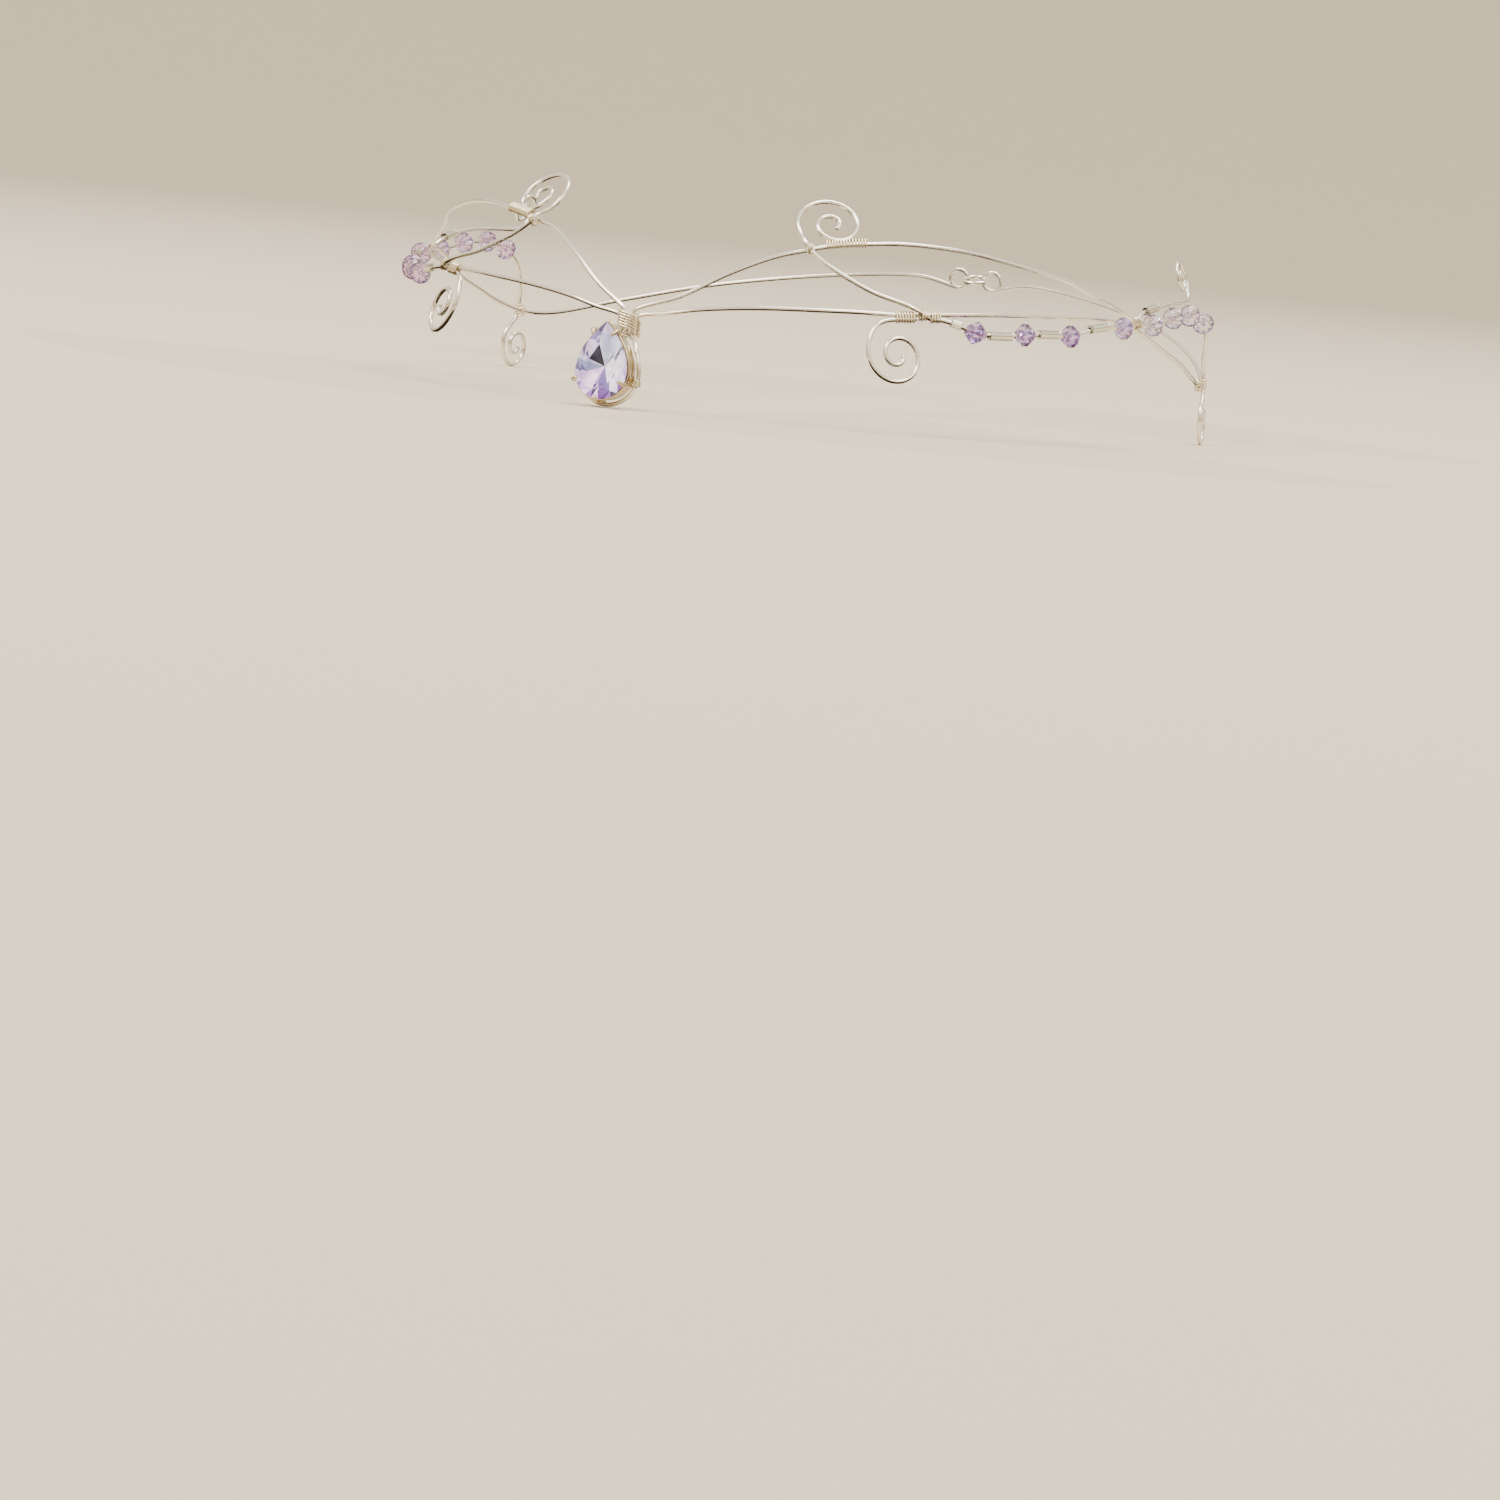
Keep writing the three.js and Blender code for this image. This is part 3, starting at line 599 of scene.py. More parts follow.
def crystal_shapes():
    girdle_top = pear_ring(even_turns(CROWN_CORNERS), 0, 1, STONE_GIRDLE / 2)
    girdle_low = pear_ring(even_turns(CROWN_CORNERS), 0, 1, -STONE_GIRDLE / 2)
    half = CROWN_CORNERS // 2
    shoulder_height = STONE_CROWN * SHOULDER_HEIGHT_SHARE
    shoulder = pear_ring(even_turns(half, 0.5), 0, SHOULDER_SHARE, shoulder_height)
    table = pear_ring(even_turns(half), 0, TABLE_SHARE, STONE_CROWN)
    pavilion = []
    for end, reach, _ in FACETS[:-1]:
        depth = (STONE_PAVILION - STONE_GIRDLE / 2) * (1 - reach) ** PAVILION_FULLNESS
        pavilion.append(pear_point(math.radians(end), 0, reach, -STONE_GIRDLE / 2 - depth))
    culet = Vector((0, FOOT_MIDDLE / 2, -STONE_PAVILION))
    verts = [*table, *shoulder, *girdle_top, *girdle_low, *pavilion, culet]
    at_shoulder = len(table)
    at_top = at_shoulder + len(shoulder)
    at_low = at_top + len(girdle_top)
    at_pavilion = at_low + len(girdle_low)
    at_culet = at_pavilion + len(pavilion)

    crown = [list(range(len(table)))]
    crown += zip_rings(table, shoulder, 0, at_shoulder, turn_of)
    crown += zip_rings(shoulder, girdle_top, at_shoulder, at_top, turn_of)
    girdle = [[at_top + i, at_low + i, at_low + (i + 1) % CROWN_CORNERS,
               at_top + (i + 1) % CROWN_CORNERS] for i in range(CROWN_CORNERS)]
    rim = [face[::-1] for face in zip_rings(pavilion, girdle_low, at_pavilion, at_low, turn_of)]
    rim_painted_tones = []
    for index, face in enumerate(rim):
        middle = sum((verts[corner] for corner in face), Vector()) / 3
        angle = math.degrees(turn_of(middle))
        painted_tones = next(painted_tones for end, painted_tones in RIM_FACETS if angle <= end)
        rim_painted_tones.append(linear(painted_tones[index % len(painted_tones)]))
    mains, main_painted_tones = [], []
    for index in range(len(pavilion)):
        beside = (index + 1) % len(pavilion)
        mains.append([at_culet, at_pavilion + beside, at_pavilion + index])
        main_painted_tones.append(linear(FACETS[index + 1][2]))
    placed = [from_pendant(point) for point in verts]
    lowered = [from_pendant((point.x, point.y, point.z - FOIL_SKIN)) for point in verts]
    # crown and lower facets share one set of corners, so that the glass is one closed body
    foiled = girdle + rim + mains
    # the lower facets' and the rim's tones are painted reflections of light and shade, the girdle's
    # a painted shade; the crown keeps the plain tone
    painted_tones = [PLAIN_TONE] * len(crown) + [linear(GIRDLE_PAINTED_SHADE)] * len(girdle) + rim_painted_tones + main_painted_tones
    glass = shape(placed, crown + foiled, [0] * len(crown) + [1] * len(foiled), False, painted_tones=painted_tones)
    # the lacquered skin of the foil lies just behind it
    skin = shape(lowered, rim + mains, 2, False)
    return [glass, skin]


crystal = make_piece("pear_crystal", crystal_shapes(), [CROWN_GLASS, FOIL, FOIL_LACQUER], "crystal",
                     "centre_stone")
# The glass casts no shadow, since light that passes through it would be lost otherwise
crystal.visible_shadow = False


# Setting: a pear cup with a rolled rim, and five claws that fold over the crown

RIM_DEPTH = STONE_GIRDLE / 2 + RIM_BELOW_GIRDLE
CUP_CORNERS = 64
CUP_WAIST = 0.1
# The cup's wall from its foot up outside and down inside, with a small bead at the foot: margin
# beyond the crystal's outline, and height, both in mm
CUP_PROFILE = [
    (-SETTING_FLARE, -SETTING_DEPTH),
    (-SETTING_FLARE + 0.12, -SETTING_DEPTH + 0.25),
    (-SETTING_FLARE - 0.02, -SETTING_DEPTH + 0.5),
    (-CUP_WAIST, -SETTING_DEPTH / 2),
    (SETTING_FLARE - 0.12, -RIM_DEPTH - 0.6),
    (SETTING_FLARE, -RIM_DEPTH - 0.35),
    (SETTING_FLARE, -RIM_DEPTH - 0.08),
    (SETTING_FLARE - 0.14, -RIM_DEPTH),
    (SETTING_FLARE - SETTING_WALL, -RIM_DEPTH),
    (-CUP_WAIST - SETTING_WALL, -SETTING_DEPTH / 2),
    (-SETTING_FLARE - SETTING_WALL, -SETTING_DEPTH),
]
# Claws round the crystal, as shares of its half width and half length
CLAW_PLACES = [(-0.88, -0.54), (0.88, -0.54), (0, -1), (-0.4, 0.7), (0.4, 0.7)]
CLAW_STEP = 0.16
CLAW_SIDES = 12
# A claw is drawn slightly slimmer than its solid
CLAW_RADIUS = CLAW * 0.46
CLAW_OUT = CLAW / 2 + SETTING_GAP
# A claw's middle line from its foot to its tip over the crown: margin and height, both in mm
CLAW_ROWS = [
    (CLAW_OUT - 0.35, -SETTING_DEPTH * 0.8),
    (CLAW_OUT - 0.35, -SETTING_DEPTH / 2),
    (CLAW_OUT - 0.05, -RIM_DEPTH),
    (CLAW_OUT, 0.1),
    (CLAW_OUT - 0.12, STONE_CROWN * 0.4),
    (0.05, STONE_CROWN * 0.68),
    (-0.35, STONE_CROWN * 0.86),
]


def setting_shapes():
    turns = even_turns(CUP_CORNERS)
    rings = len(CUP_PROFILE)
    verts, faces = [], []
    for ring, (margin, height) in enumerate(CUP_PROFILE):
        verts += [from_pendant(point) for point in pear_ring(turns, margin, 1, height)]
        faces += band(ring, (ring + 1) % rings, CUP_CORNERS)
    shapes = [shape(verts, faces)]
    for across, along in CLAW_PLACES:
        foot = Vector((across * STONE_WIDTH / 2, along * STONE_LENGTH / 2, 0))
        away = Vector((across / STONE_WIDTH, along / STONE_LENGTH, 0)).normalized()
        points = [from_pendant(foot + away * margin + Vector((0, 0, z))) for margin, z in CLAW_ROWS]
        shapes.append(tube(smooth_path(points, CLAW_STEP), CLAW_RADIUS, CLAW_SIDES))
    return shapes


make_piece("pear_setting", setting_shapes(), [CAST_METAL], "silver_wire", "stone_setting")


# Frame wire behind the setting, its binding, and the coil

FRAME_RADIUS = STONE_WIDTH / 2 - SETTING_FLARE + FRAME_GAP + WIRE / 2
FRAME_DEPTH = SETTING_DEPTH - WIRE / 2
COIL_BOTTOM = COIL_HEIGHT - COIL_TURNS * COIL_PITCH / 2
COIL_TOP = COIL_HEIGHT + COIL_TURNS * COIL_PITCH / 2
STEM_X = PITCH / 2
FRONT_ROW = -COIL_SET_BACK + PITCH / 2
BACK_ROW = -COIL_SET_BACK - PITCH / 2
# Its turns run down towards the circlet's left and bow up in front, in mm
COIL_SLANT = 0.95
COIL_BOW = 0.55
COIL_SIDES = 10
# Shares of the foot's radius, of the coil's height and of the way back to the coil's rear row
FRAME_SHOULDERS = [(0.4, 0.8, 0.5), (0.78, 0.42, 0.07)]
FRAME_FOOT_STEP = 22.5
FRAME_FOOT_STEPS = 8
# Binding on the loop: where it starts and ends, in degrees round the foot, its turns, how far they
# stand off across and out, and their slant, in mm
BINDING_ANGLES = (-8, -17)
BINDING_TURNS = 2.5
BINDING_WIDE = 0.12
BINDING_DEEP = 0.04
BINDING_SLANT = 0.2


def frame_foot(angle):
    turn = math.radians(angle)
    return Vector((FRAME_RADIUS * math.cos(turn), FOOT_MIDDLE + FRAME_RADIUS * math.sin(turn),
                   -FRAME_DEPTH))


def frame_points():
    side = [
        Vector((STEM_X, COIL_TOP + WIRE / 2, BACK_ROW)),
        Vector((STEM_X, COIL_HEIGHT, BACK_ROW)),
        Vector((STEM_X, COIL_BOTTOM - WIRE, BACK_ROW)),
    ]
    for across, along, back in FRAME_SHOULDERS:
        side.append(Vector((across * FRAME_RADIUS, along * COIL_BOTTOM,
                            -FRAME_DEPTH + back * (BACK_ROW + FRAME_DEPTH))))
    foot = [frame_foot(-step * FRAME_FOOT_STEP) for step in range(FRAME_FOOT_STEPS + 1)]
    far_side = [Vector((-p.x, p.y, p.z)) for p in reversed(side)]
    return [from_pendant(point) for point in side + foot + far_side]


make_piece("frame_loop", [tube(smooth_path(frame_points()), WIRE / 2)], [WIRE_METAL],
           "silver_wire", "pendant_frame_wire")

table_out = (PENDANT.to_3x3() @ Vector((0, 0, 1))).normalized()
binding_places = [(from_pendant(frame_foot(angle)), table_out) for angle in BINDING_ANGLES]
binding_path = turns_round(binding_places, BINDING_TURNS, BINDING_WIDE, BINDING_DEEP, BINDING,
                           BINDING_SLANT)
make_piece("frame_loop_binding", [tube(binding_path, BINDING / 2, BINDING_SIDES)],
           [BINDING_METAL], "silver_wire", "frame_binding")

coil_places = [(from_pendant((0, y, -COIL_SET_BACK)), table_out) for y in (COIL_BOTTOM, COIL_TOP)]
coil_path = turns_round(coil_places, COIL_TURNS, 1.5 * PITCH, 0.5 * PITCH, COIL_WIRE,
                        COIL_SLANT, COIL_BOW)
make_piece("brow_coil", [tube(coil_path, COIL_WIRE / 2, COIL_SIDES)],
           [BINDING_METAL], "silver_wire", "centre_coil")


# Routes of the wires of one side. Columns: angle, height share, rise, lift

COIL_FAN = {"upper": (1.4, 1.2), "lower": (2.6, 0.16)}
COIL_ENTRY = {
    "upper": [
        (STEM_X, COIL_BOTTOM - WIRE_GAP, FRONT_ROW),
        (STEM_X, COIL_TOP, FRONT_ROW),
        (COIL_FAN["upper"][0] * PITCH, COIL_TOP + COIL_FAN["upper"][1] * PITCH, FRONT_ROW),
    ],
    "lower": [
        (STEM_X + PITCH, COIL_BOTTOM - WIRE_GAP, FRONT_ROW),
        (STEM_X + PITCH, COIL_TOP - WIRE / 2, FRONT_ROW),
        (COIL_FAN["lower"][0] * PITCH, COIL_TOP + COIL_FAN["lower"][1] * PITCH, FRONT_ROW),
    ],
}
UPPER_BOW = {"left": 0, "right": 1.2}


def upper_rows(bow):
    return [
        (7.4, 0.63, bow), (14.9, 0.684, bow), (22.4, 0.7185, bow), (27.5, 0.7285, 0.5 * bow),
        (31, 0.7335), (34.4, 0.734), (38, 0.731), (44, 0.722), (50, 0.703), (56, 0.675),
        (62, 0.634), (67, 0.594), (71.5, 0.552), (75, 0.506), (78, 0.462, 0, 0.5 * STRAND_LIFT),
    ]


OVER_BEAD_ROWS = [
    (80.9, 0.386, PITCH, STRAND_LIFT + 0.5 * PITCH),
    (83, 0.378, 0.75 * OVER_BEAD, STRAND_LIFT),
    (85.8, 0.366, 0.97 * OVER_BEAD, STRAND_LIFT),
    (88.6, 0.356, OVER_BEAD, STRAND_LIFT),
    (92.5, 0.342, OVER_BEAD, STRAND_LIFT),
    (97.5, 0.315, OVER_BEAD, STRAND_LIFT),
]
BUGLE_OVER_PLACE = 2

LOWER_ROWS = [
    (6, 0.592), (11, 0.604), (17, 0.609), (23, 0.607), (29.8, 0.598), (35, 0.588), (40.8, 0.572),
    (43.8, 0.565), (46.4, 0.559), (48.8, 0.552), (57.6, 0.524), (68, 0.477), (76.9, 0.428),
    (81.7, 0.384), (89.7, 0.266), (95, 0.195), (100, 0.124), (105.2, 0.064), (111, 0.025),
    (124, 0.004), (140, 0), (158, 0), (171, 0),
]

CROSSING_ROWS = [
    (27.4, 0.737, 0, CROSS_LIFT), (29, 0.716, 0, 0.5 * CROSS_LIFT), (31.6, 0.69), (35, 0.656),
    (38.4, 0.624), (41.8, 0.595, 0, 0.5 * CROSS_LIFT), (43.6, 0.575, 0, CROSS_LIFT),
    (44.9, 0.5625, -0.3 * PITCH, CROSS_LIFT), (46.1, 0.56, -PITCH, 0.1 * CROSS_LIFT),
    (47.3, 0.5565, -PITCH),
]

STRAND_ROWS = [
    (49.4, 0.522, 0, 0.8 * STRAND_LIFT),
    (51.9, 0.494, 0, STRAND_LIFT),
    (55.6, 0.474, 0, STRAND_LIFT),
    (59.6, 0.463, 0, STRAND_LIFT),
    (63.5, 0.448, 0, STRAND_LIFT),
    (67.3, 0.427, 0, STRAND_LIFT),
    (72.6, 0.422, 0, STRAND_LIFT + 0.5 * PITCH),
    (77.1, 0.398, 0, STRAND_LIFT + PITCH),
    (80.9, 0.386, 0, STRAND_LIFT + 0.5 * PITCH),
    (84.6, 0.366, 0, STRAND_LIFT + 0.5 * PITCH),
    (91.6, 0.345, 0, STRAND_LIFT),
    (98, 0.312, 0, STRAND_LIFT),
    (103.2, 0.255, 0, STRAND_LIFT + 0.5 * PITCH),
]
BEAD_PLACES = [1, 3, 5, 7, 9, 10, 11, 12]
BUGLE_PLACES = [2, 4, 6]
SPACER_PLACE = 0
LAVENDER_BEADS = 4

DROP_ROWS = [
    (105.6, 0.195, 0, STRAND_LIFT), (105.7, 0.13, 0, CROSS_LIFT),
    (105.4, 0.075, 0, CROSS_LIFT), (105, 0.045, 0, CROSS_LIFT),
]
LOWER_CURL_STEM = [(43.9, 0.565, -PITCH), (42.4, 0.5685, -PITCH), (41, 0.5715, -PITCH)]

UPPER_CURL = {"angle": 32.5, "height_share": 0.776, "start": -67, "sweep": 618,
              "first": 0.9, "last": 6.7, "opening": 1.15}
LOWER_CURL = {"angle": 40.7, "height_share": 0.476, "start": 112, "sweep": 600,
              "first": 6.7, "last": 1, "opening": 0.8}
REAR_LOWER_CURL = {"angle": 104.6, "height_share": -0.045, "start": 100, "sweep": 600,
                   "first": 5.2, "last": 1, "opening": 0.8, "lift": CROSS_LIFT}
REAR_UPPER_CURL = {"angle": 103.5, "height_share": 0.39, "start": -80, "sweep": 560,
                   "first": 4.2, "last": 1, "opening": 0.85}

# Windings of fine wire, one or two for each piece: turns, how far the held wires stand from the
# middle across and out, how far each turn slants, and the rows of the axis
WINDINGS = {
    "upper_wrap": [
        (14, 0.28 * PITCH, 0.0, 0.16, [
            (31, 0.7355, 0.25 * PITCH), (34.4, 0.734, 0.35 * PITCH), (38.2, 0.731, 0.25 * PITCH)]),
        (2, 0.1, 0.48 * CROSS_LIFT, 0.1, [
            (27.9, 0.7289, 0, 0.48 * CROSS_LIFT), (28.6, 0.7275, 0, 0.42 * CROSS_LIFT)]),
    ],
    "lower_wrap": [(7, 0.5 * PITCH, 0.0, 0.2, [
        (40.9, 0.5717, -0.5 * PITCH), (43.9, 0.5648, -0.5 * PITCH)])],
    "cross_wrap": [
        (2.5, 0.3 * PITCH, 0.42 * CROSS_LIFT, 0.3, [
            (44.6, 0.5632, -0.2 * PITCH, 0.45 * CROSS_LIFT),
            (45.6, 0.5608, -0.4 * PITCH, 0.3 * CROSS_LIFT)]),
        (4, 0.5 * PITCH, 0.0, 0.35, [
            (46.3, 0.5593, -0.5 * PITCH), (47.9, 0.555, -0.5 * PITCH)]),
    ],
    "side_wrap": [(3, 0.5 * PITCH, 0.0, 0.1, [
        (80.2, 0.388, 0.5 * PITCH, STRAND_LIFT + 0.5 * PITCH),
        (81.6, 0.384, 0.5 * PITCH, STRAND_LIFT + 0.5 * PITCH)])],
    "rear_wrap": [(4, 0.0, 0.5 * CROSS_LIFT, 0.1, [
        (105.4, 0.079, 0, 0.5 * CROSS_LIFT), (105.1, 0.049, 0, 0.5 * CROSS_LIFT)])],
}


def turned(middle, along, rings):
    """Corners of rings round an axis. A ring is (radius, place along, corners, phase)."""
    along = along.normalized()
    side = along.orthogonal().normalized()
    other = along.cross(side)
    verts = []
    for radius, place, corners, phase in rings:
        for corner in range(corners):
            turn = (corner + phase) / corners * math.tau
            out = side * math.cos(turn) + other * math.sin(turn)
            verts.append(middle + along * place + out * radius)
    return verts


# Cut of a bead: half the height of its belt in mm, and where the outer corners of the kites lie,
# as shares of the cone's width and length. One facet in three is painted darker: a painted dark
# reflection
BEAD_BELT = 0.06
KITE_OUT_SHARE = 0.56
KITE_ALONG_SHARE = 0.48
PAINTED_DARK_EVERY = 3
PAINTED_DARK_REFLECTION = linear("#6F5589")


def bead_shape(middle, along):
    """Bicone cut with a row of kite facets on each cone, drilled for the wire."""
    hole = WIRE / 2 + THREAD_GAP
    half = BEAD_LENGTH / 2
    kite = half * KITE_ALONG_SHARE
    shoulder = BEAD_END / 2 + (BEAD_DIAMETER - BEAD_END) / 2 * KITE_OUT_SHARE
    # radius, place along the bead, and phase of each ring's corners
    profile = [
        (hole, -half, 0), (BEAD_END / 2, -half, 0), (shoulder, -kite, 0.5),
        (BEAD_DIAMETER / 2, -BEAD_BELT, 0), (BEAD_DIAMETER / 2, BEAD_BELT, 0),
        (shoulder, kite, 0.5), (BEAD_END / 2, half, 0), (hole, half, 0),
    ]
    n = BEAD_SIDES
    verts = turned(middle, along, [(radius, place, n, phase) for radius, place, phase in profile])
    faces, painted_tones = [], []
    for ring, (_, _, phase) in enumerate(profile):
        after = (ring + 1) % len(profile)
        phase_after = profile[after][2]
        # only the facets next to the belt, and the belt, get the painted dark reflection
        by_belt = 2 <= ring <= 4
        for corner in range(n):
            a, b = ring * n + corner, ring * n + (corner + 1) % n
            c, d = after * n + (corner + 1) % n, after * n + corner
            if phase == phase_after:
                faces.append([a, b, c, d])
            elif phase_after > phase:
                faces += [[a, b, d], [b, c, d]]
            else:
                faces += [[a, c, d], [a, b, c]]
            while len(painted_tones) < len(faces):
                deep = by_belt and (len(painted_tones) + corner) % PAINTED_DARK_EVERY == 0
                painted_tones.append(PAINTED_DARK_REFLECTION if deep else PLAIN_TONE)
    return shape(verts, faces, 0, False, painted_tones=painted_tones)


# Tube, in mm: width of its ground edge. Its silvered lining: how far it keeps clear of the wire and
# of that edge, how far it stands out of the ends, how deep it lies in the glass, and its flare
TUBE_EDGE = 0.06
LINING_GAP = 0.03
LINING_PROUD = 0.02
LINING_DEEP = 0.05
LINING_FLARE = 0.1


def bugle_shapes(middle, along, length):
    """Drawn glass tube, and the silvered lining of its bore, which closes on to the wire."""
    hole = WIRE / 2 + BUGLE_GAP
    bore = WIRE / 2 + LINING_GAP
    half = length / 2
    outer = BUGLE_DIAMETER / 2
    rim = outer - TUBE_EDGE
    end = half + LINING_PROUD
    glass = [(hole, -half), (rim, -half), (outer, -half + TUBE_EDGE), (outer, half - TUBE_EDGE),
             (rim, half), (hole, half)]
    lining = [(rim - LINING_GAP, -end), (hole + LINING_DEEP, -half + LINING_FLARE),
              (hole + LINING_DEEP, half - LINING_FLARE), (rim - LINING_GAP, end),
              (bore, end), (bore, -end)]
    shapes = []
    for material, profile in enumerate((glass, lining)):
        verts = turned(middle, along, [(radius, place, BUGLE_SIDES, 0) for radius, place in profile])
        faces = []
        for ring in range(len(profile)):
            faces += band(ring, (ring + 1) % len(profile), BUGLE_SIDES)
        shapes.append(shape(verts, faces, material, False))
    return shapes


EYE_STEPS = 12


def eye_points(side):
    """Open eye at the end of a lower wire, upright, with the back ring through it."""
    ring_middle = form_place(side, 180, 0)[0]
    radius = EYE_DIAMETER / 2
    middle = RING_DIAMETER / 2 + radius - PITCH
    points = []
    for step in range(EYE_STEPS):
        turn = math.radians(360 // EYE_STEPS * step)
        points.append(Vector((side * (middle - radius * math.sin(turn)), ring_middle.y,
                              ring_middle.z - radius * math.cos(turn))))
    return points


def add_wire(name, points, node):
    path = smooth_path(points)
    make_piece(name, [tube(path, WIRE / 2)], [WIRE_METAL], "silver_wire", node)


def place_on_wire(points, index):
    """The place and direction of a bead on a wire."""
    at = spline(points)
    low = max(index - BEAD_REACH, 0)
    high = min(index + BEAD_REACH, len(points) - 1)
    return points[index], (at(high) - at(low)).normalized()


def add_tube(name, node, points, index, length):
    middle, along = place_on_wire(points, index)
    make_piece(name, bugle_shapes(middle, along, length), [CLEAR_GLASS, LINING],
               "silver_lined_glass", node)


def add_side(side, name):
    front = [from_pendant((side * x, y, z)) for x, y, z in COIL_ENTRY["upper"]]
    front += route(side, upper_rows(UPPER_BOW[name]))
    upper = front + route(side, OVER_BEAD_ROWS) + curl_points(side, REAR_UPPER_CURL)
    add_wire(f"{name}_long_upper_wire", upper, f"{name}_upper_wire")

    lower = [from_pendant((side * x, y, z)) for x, y, z in COIL_ENTRY["lower"]]
    lower += route(side, LOWER_ROWS) + eye_points(side)
    add_wire(f"{name}_long_lower_wire", lower, f"{name}_lower_wire")

    crossing = curl_points(side, UPPER_CURL) + route(side, CROSSING_ROWS)
    core = crossing + route(side, STRAND_ROWS) + route(side, DROP_ROWS)
    core += curl_points(side, REAR_LOWER_CURL)
    add_wire(f"{name}_strand_wire", core, f"{name}_upper_curl_wire")

    stem = route(side, LOWER_CURL_STEM) + curl_points(side, LOWER_CURL)
    add_wire(f"{name}_low_curl", stem, f"{name}_lower_curl_wire")

    for part, windings in WINDINGS.items():
        shapes = []
        for turns, wide, deep, slant, rows in windings:
            places = [(route_point(side, row), form_place(side, row[0], row[1])[1]) for row in rows]
            path = turns_round(places, turns, wide, deep, BINDING, slant)
            shapes.append(tube(path, BINDING / 2, BINDING_SIDES))
        make_piece(f"{name}_{part}_turns", shapes, [BINDING_METAL], "silver_wire", f"{name}_{part}")

    first = len(crossing)
    for order, place in enumerate(BEAD_PLACES, 1):
        middle, along = place_on_wire(core, first + place)
        glass = LAVENDER_GLASS if order <= LAVENDER_BEADS else PALE_GLASS
        if name == "right":
            glass = PINK_GLASS
        bead = make_piece(f"{name}_cut_bead_{order}", [bead_shape(middle, along)], [glass],
                          "lavender_bead", f"{name}_bead_{order}")
        # no shadow, for the same reason as the crystal
        bead.visible_shadow = False
    for order, place in enumerate(BUGLE_PLACES, 1):
        add_tube(f"{name}_tube_{order}", f"{name}_bugle_{order}", core, first + place, BUGLE_LENGTH)
    last = len(BUGLE_PLACES) + 1
    add_tube(f"{name}_tube_{last}", f"{name}_bugle_{last}", upper, len(front) + BUGLE_OVER_PLACE,
             BUGLE_LENGTH)
    add_tube(f"{name}_short_tube", f"{name}_spacer", core, first + SPACER_PLACE, SPACER_LENGTH)


add_side(1, "left")
add_side(-1, "right")


RING_STEPS = 48


def ring_path():
    middle = form_place(1, 180, 0)[0]
    radius = RING_DIAMETER / 2
    path = []
    for step in range(RING_STEPS):
        turn = step / RING_STEPS * math.tau
        path.append(middle + Vector((math.cos(turn), math.sin(turn), 0)) * radius)
    return path


make_piece("back_ring", [tube(ring_path(), WIRE / 2, closed=True)], [WIRE_METAL],
           "silver_wire", "clasp_ring")


# Floor, lights and camera, in metres

# Radii of the floor's flat rings, and radius and corner angles of the sweep at its rim
FLOOR_RADII = (0.6, 1.5, 2.2)
FLOOR_SWEEP = 1.1
SWEEP_ANGLES = range(10, 91, 10)
FLOOR_CORNERS = 96


def floor_mesh():
    rings = [(radius, 0) for radius in FLOOR_RADII]
    for angle in SWEEP_ANGLES:
        rise = math.radians(angle)
        rings.append((FLOOR_RADII[-1] + FLOOR_SWEEP * math.sin(rise),
                      FLOOR_SWEEP * (1 - math.cos(rise))))
    verts = [(0, 0, 0)]
    for radius, height in rings:
        for corner in range(FLOOR_CORNERS):
            turn = corner / FLOOR_CORNERS * math.tau
            verts.append((radius * math.cos(turn), radius * math.sin(turn), height))
    faces = [[0, 1 + corner, 1 + (corner + 1) % FLOOR_CORNERS] for corner in range(FLOOR_CORNERS)]
    for ring in range(len(rings) - 1):
        for corner in range(FLOOR_CORNERS):
            a = 1 + ring * FLOOR_CORNERS + corner
            b = 1 + ring * FLOOR_CORNERS + (corner + 1) % FLOOR_CORNERS
            faces.append([a, a + FLOOR_CORNERS, b + FLOOR_CORNERS, b])
    mesh = bpy.data.meshes.new("paper_floor")
    mesh.from_pydata(verts, [], faces)
    mesh.polygons.foreach_set("use_smooth", [True] * len(faces))
    return mesh


def add_floor():
    """Sheet of pale cream paper that sweeps up all round, far outside the circlet."""
    mesh = floor_mesh()
    material, tree = new_material("cream_paper")
    # paper tooth of about 0.6 mm
    relief = add(tree, "ShaderNodeBump", {
        "Height": object_noise(tree, 0.6, 2.0), "Strength": 0.1, "Distance": 0.05 * MM,
    })
    add_surface(tree, {
        "Base Color": linear("#C9BCA8"), "Roughness": 0.9, "Normal": relief.outputs[0],
    })
    mesh.materials.append(material)
    add_object("paper_floor", mesh)


# Dark sheet under the circlet, painted shade seen only in reflections: its sectors' radius,
# height and distance from the middle plane, the steps along a sector's rim, and where each sector
# starts and ends, in degrees from the side
FLAG_RADIUS = 0.14
FLAG_HEIGHT = 0.0005
FLAG_PARTING = 0.012
FLAG_STEPS = 16
FLAG_SECTORS = ((-90, -22), (38, 90))


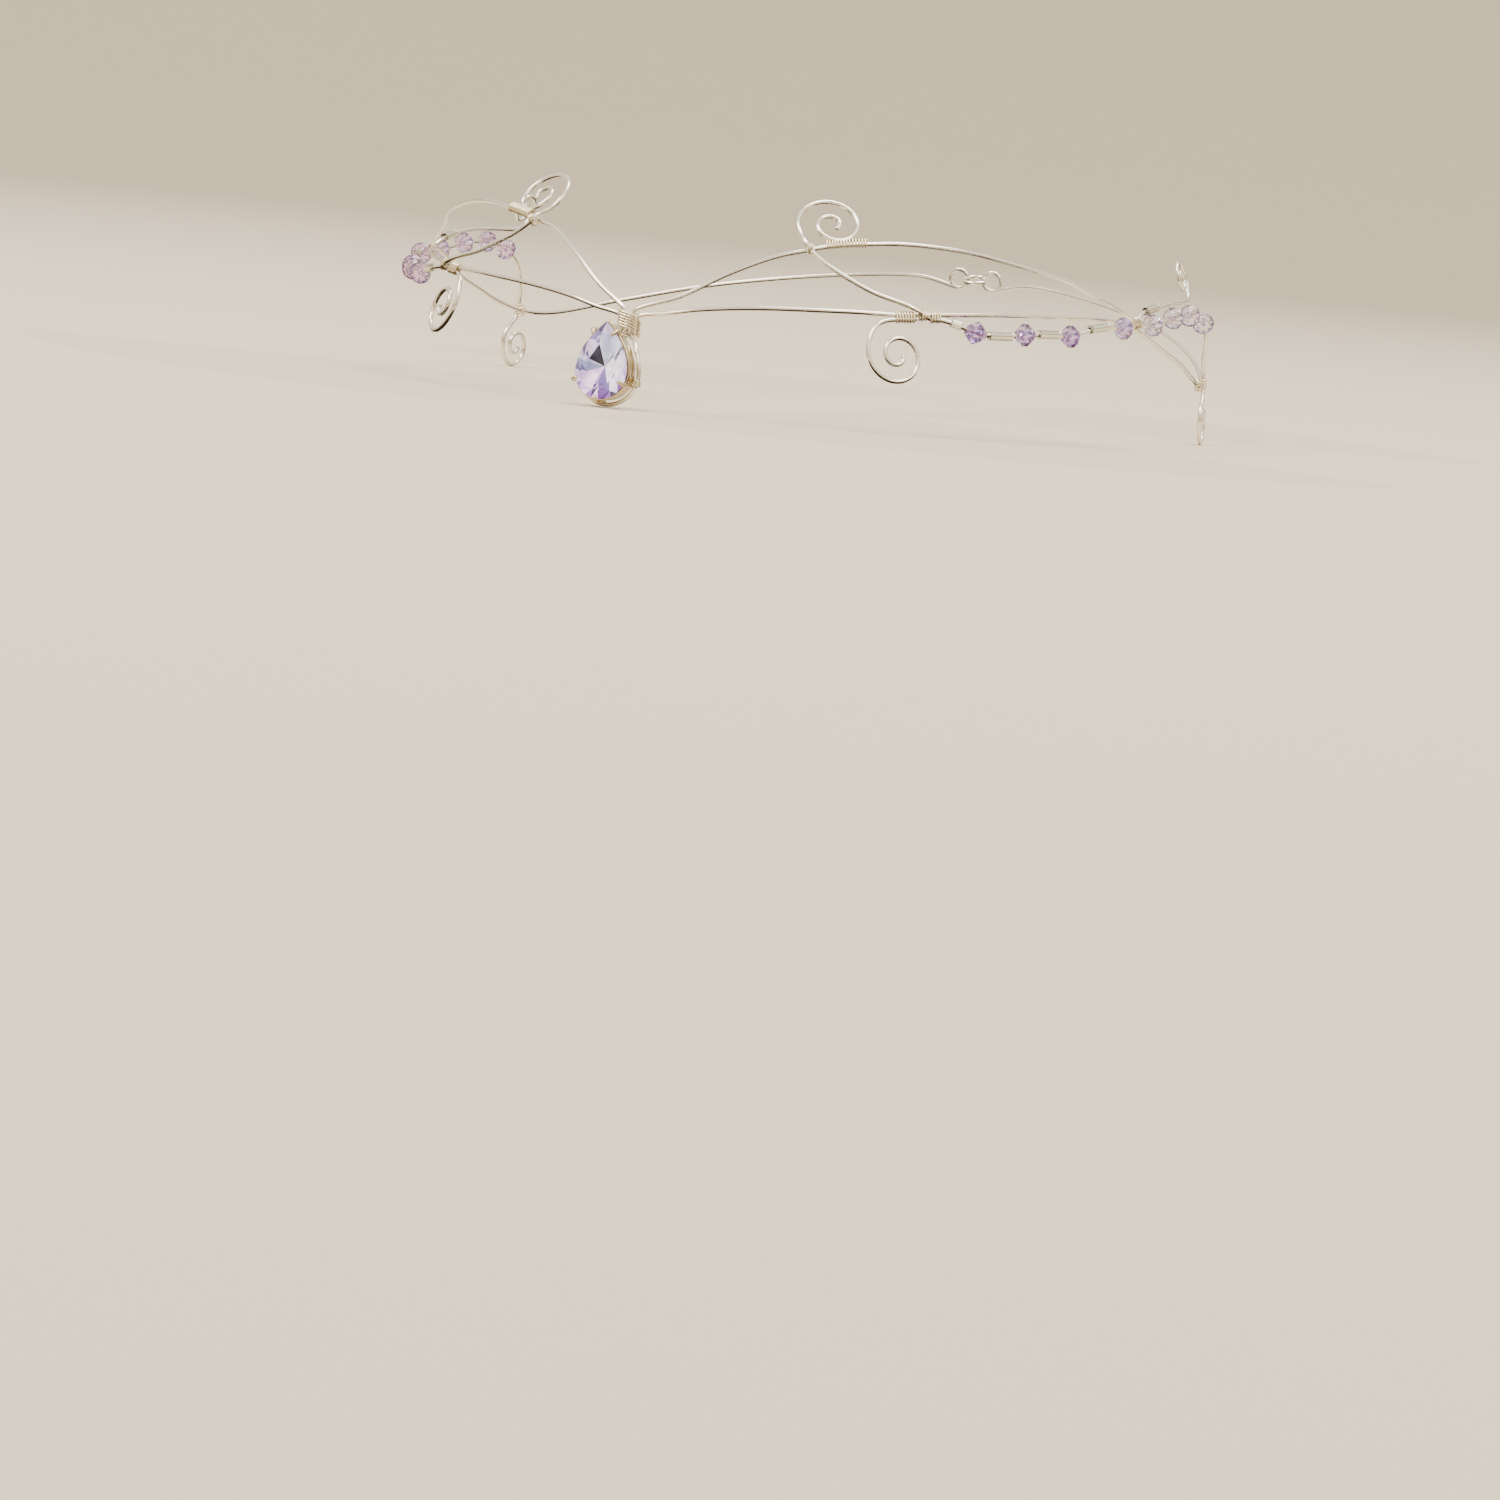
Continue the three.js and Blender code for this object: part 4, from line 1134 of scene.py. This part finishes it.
def add_flag():
    """Dark sheet laid under the front and the back, seen only in reflections: a painted shade
    that draws the dark line that runs along the underside of polished wire."""
    verts, faces = [], []
    for side in (-1, 1):
        for start, end in FLAG_SECTORS:
            first = len(verts)
            verts.append((side * FLAG_PARTING, 0, FLAG_HEIGHT))
            for step in range(FLAG_STEPS + 1):
                turn = math.radians(start + (end - start) * step / FLAG_STEPS)
                verts.append((side * (FLAG_PARTING + FLAG_RADIUS * math.cos(turn)),
                              FLAG_RADIUS * math.sin(turn), FLAG_HEIGHT))
            faces.append(list(range(first, len(verts))))
    mesh = bpy.data.meshes.new("dark_flag")
    mesh.from_pydata(verts, [], faces)
    # painted shade: a near-black sheet that only reflections see
    material, tree = new_material("painted_shade_black")
    add_surface(tree, {
        "Base Color": linear("#231D13"), "Roughness": 1.0, "Specular IOR Level": 0.0,
    })
    mesh.materials.append(material)
    flag = add_object("dark_flag", mesh)
    flag.visible_camera = False
    flag.visible_diffuse = False
    flag.visible_transmission = False
    flag.visible_shadow = False


# Round soft lights aimed at the origin: name, place, diameter, power in watts, and colour
LIGHTS = [
    ("key_light", (-0.8, -0.9, 1.5), 0.9, 36, "#FFF8EE"),
    ("fill_light", (1.2, -0.6, 1.2), 0.9, 12, "#FFF4E4"),
    ("top_light", (0.2, 0.5, 1.7), 1.0, 30, "#FFFDF8"),
]


def add_light(name, place, size, power, colour):
    data = bpy.data.lights.new(name, "AREA")
    data.shape = "DISK"
    data.size = size
    data.energy = power
    data.color = linear(colour)[:3]
    light = add_object(name, data)
    light.location = place
    light.rotation_mode = "QUATERNION"
    light.rotation_quaternion = (-Vector(place)).to_track_quat("-Z", "Y")


def add_world():
    world = bpy.data.worlds.new("studio")
    world.use_nodes = True
    tree = world.node_tree
    tree.nodes.clear()
    sky = add(tree, "ShaderNodeBackground", {"Color": linear("#FFF7EA"), "Strength": 1.5})
    add(tree, "ShaderNodeOutputWorld", {"Surface": sky.outputs[0]})
    bpy.context.scene.world = world


add_floor()
add_flag()
add_world()
for light_values in LIGHTS:
    add_light(*light_values)


# Camera, fitted with the crystal's middle at the origin: its bearing and distance, how far the
# crystal lies off the picture's middle, in mm, and its lens
CAMERA_AZIMUTH = math.radians(22.16)
CAMERA_ELEVATION = math.radians(19.94)
CAMERA_DISTANCE = 1000
CAMERA_OFF_RIGHT = -26.34
CAMERA_OFF_UP = 69.64
FOCAL_PIXELS = 5600
PICTURE_PIXELS = 1500
SENSOR = 36


def add_camera():
    """Camera at the fitted angle to the circlet, turned with it as the circlet tilts to rest."""
    cos_up, sin_up = math.cos(CAMERA_ELEVATION), math.sin(CAMERA_ELEVATION)
    cos_round, sin_round = math.cos(CAMERA_AZIMUTH), math.sin(CAMERA_AZIMUTH)
    back = Vector((sin_round * cos_up, -cos_round * cos_up, sin_up))
    right = Vector((cos_round, sin_round, 0))
    up = back.cross(right)
    place = PENDANT.to_translation() + back * CAMERA_DISTANCE
    place -= right * CAMERA_OFF_RIGHT + up * CAMERA_OFF_UP
    turn = REST.to_3x3() @ Matrix((right, up, back)).transposed()
    data = bpy.data.cameras.new("camera")
    data.sensor_width = SENSOR
    data.lens = FOCAL_PIXELS / PICTURE_PIXELS * SENSOR
    data.clip_start = 0.05
    data.clip_end = 20
    camera = add_object("camera", data)
    camera.matrix_world = Matrix.Translation(REST @ place * MM) @ turn.to_4x4()
    bpy.context.scene.camera = camera


add_camera()
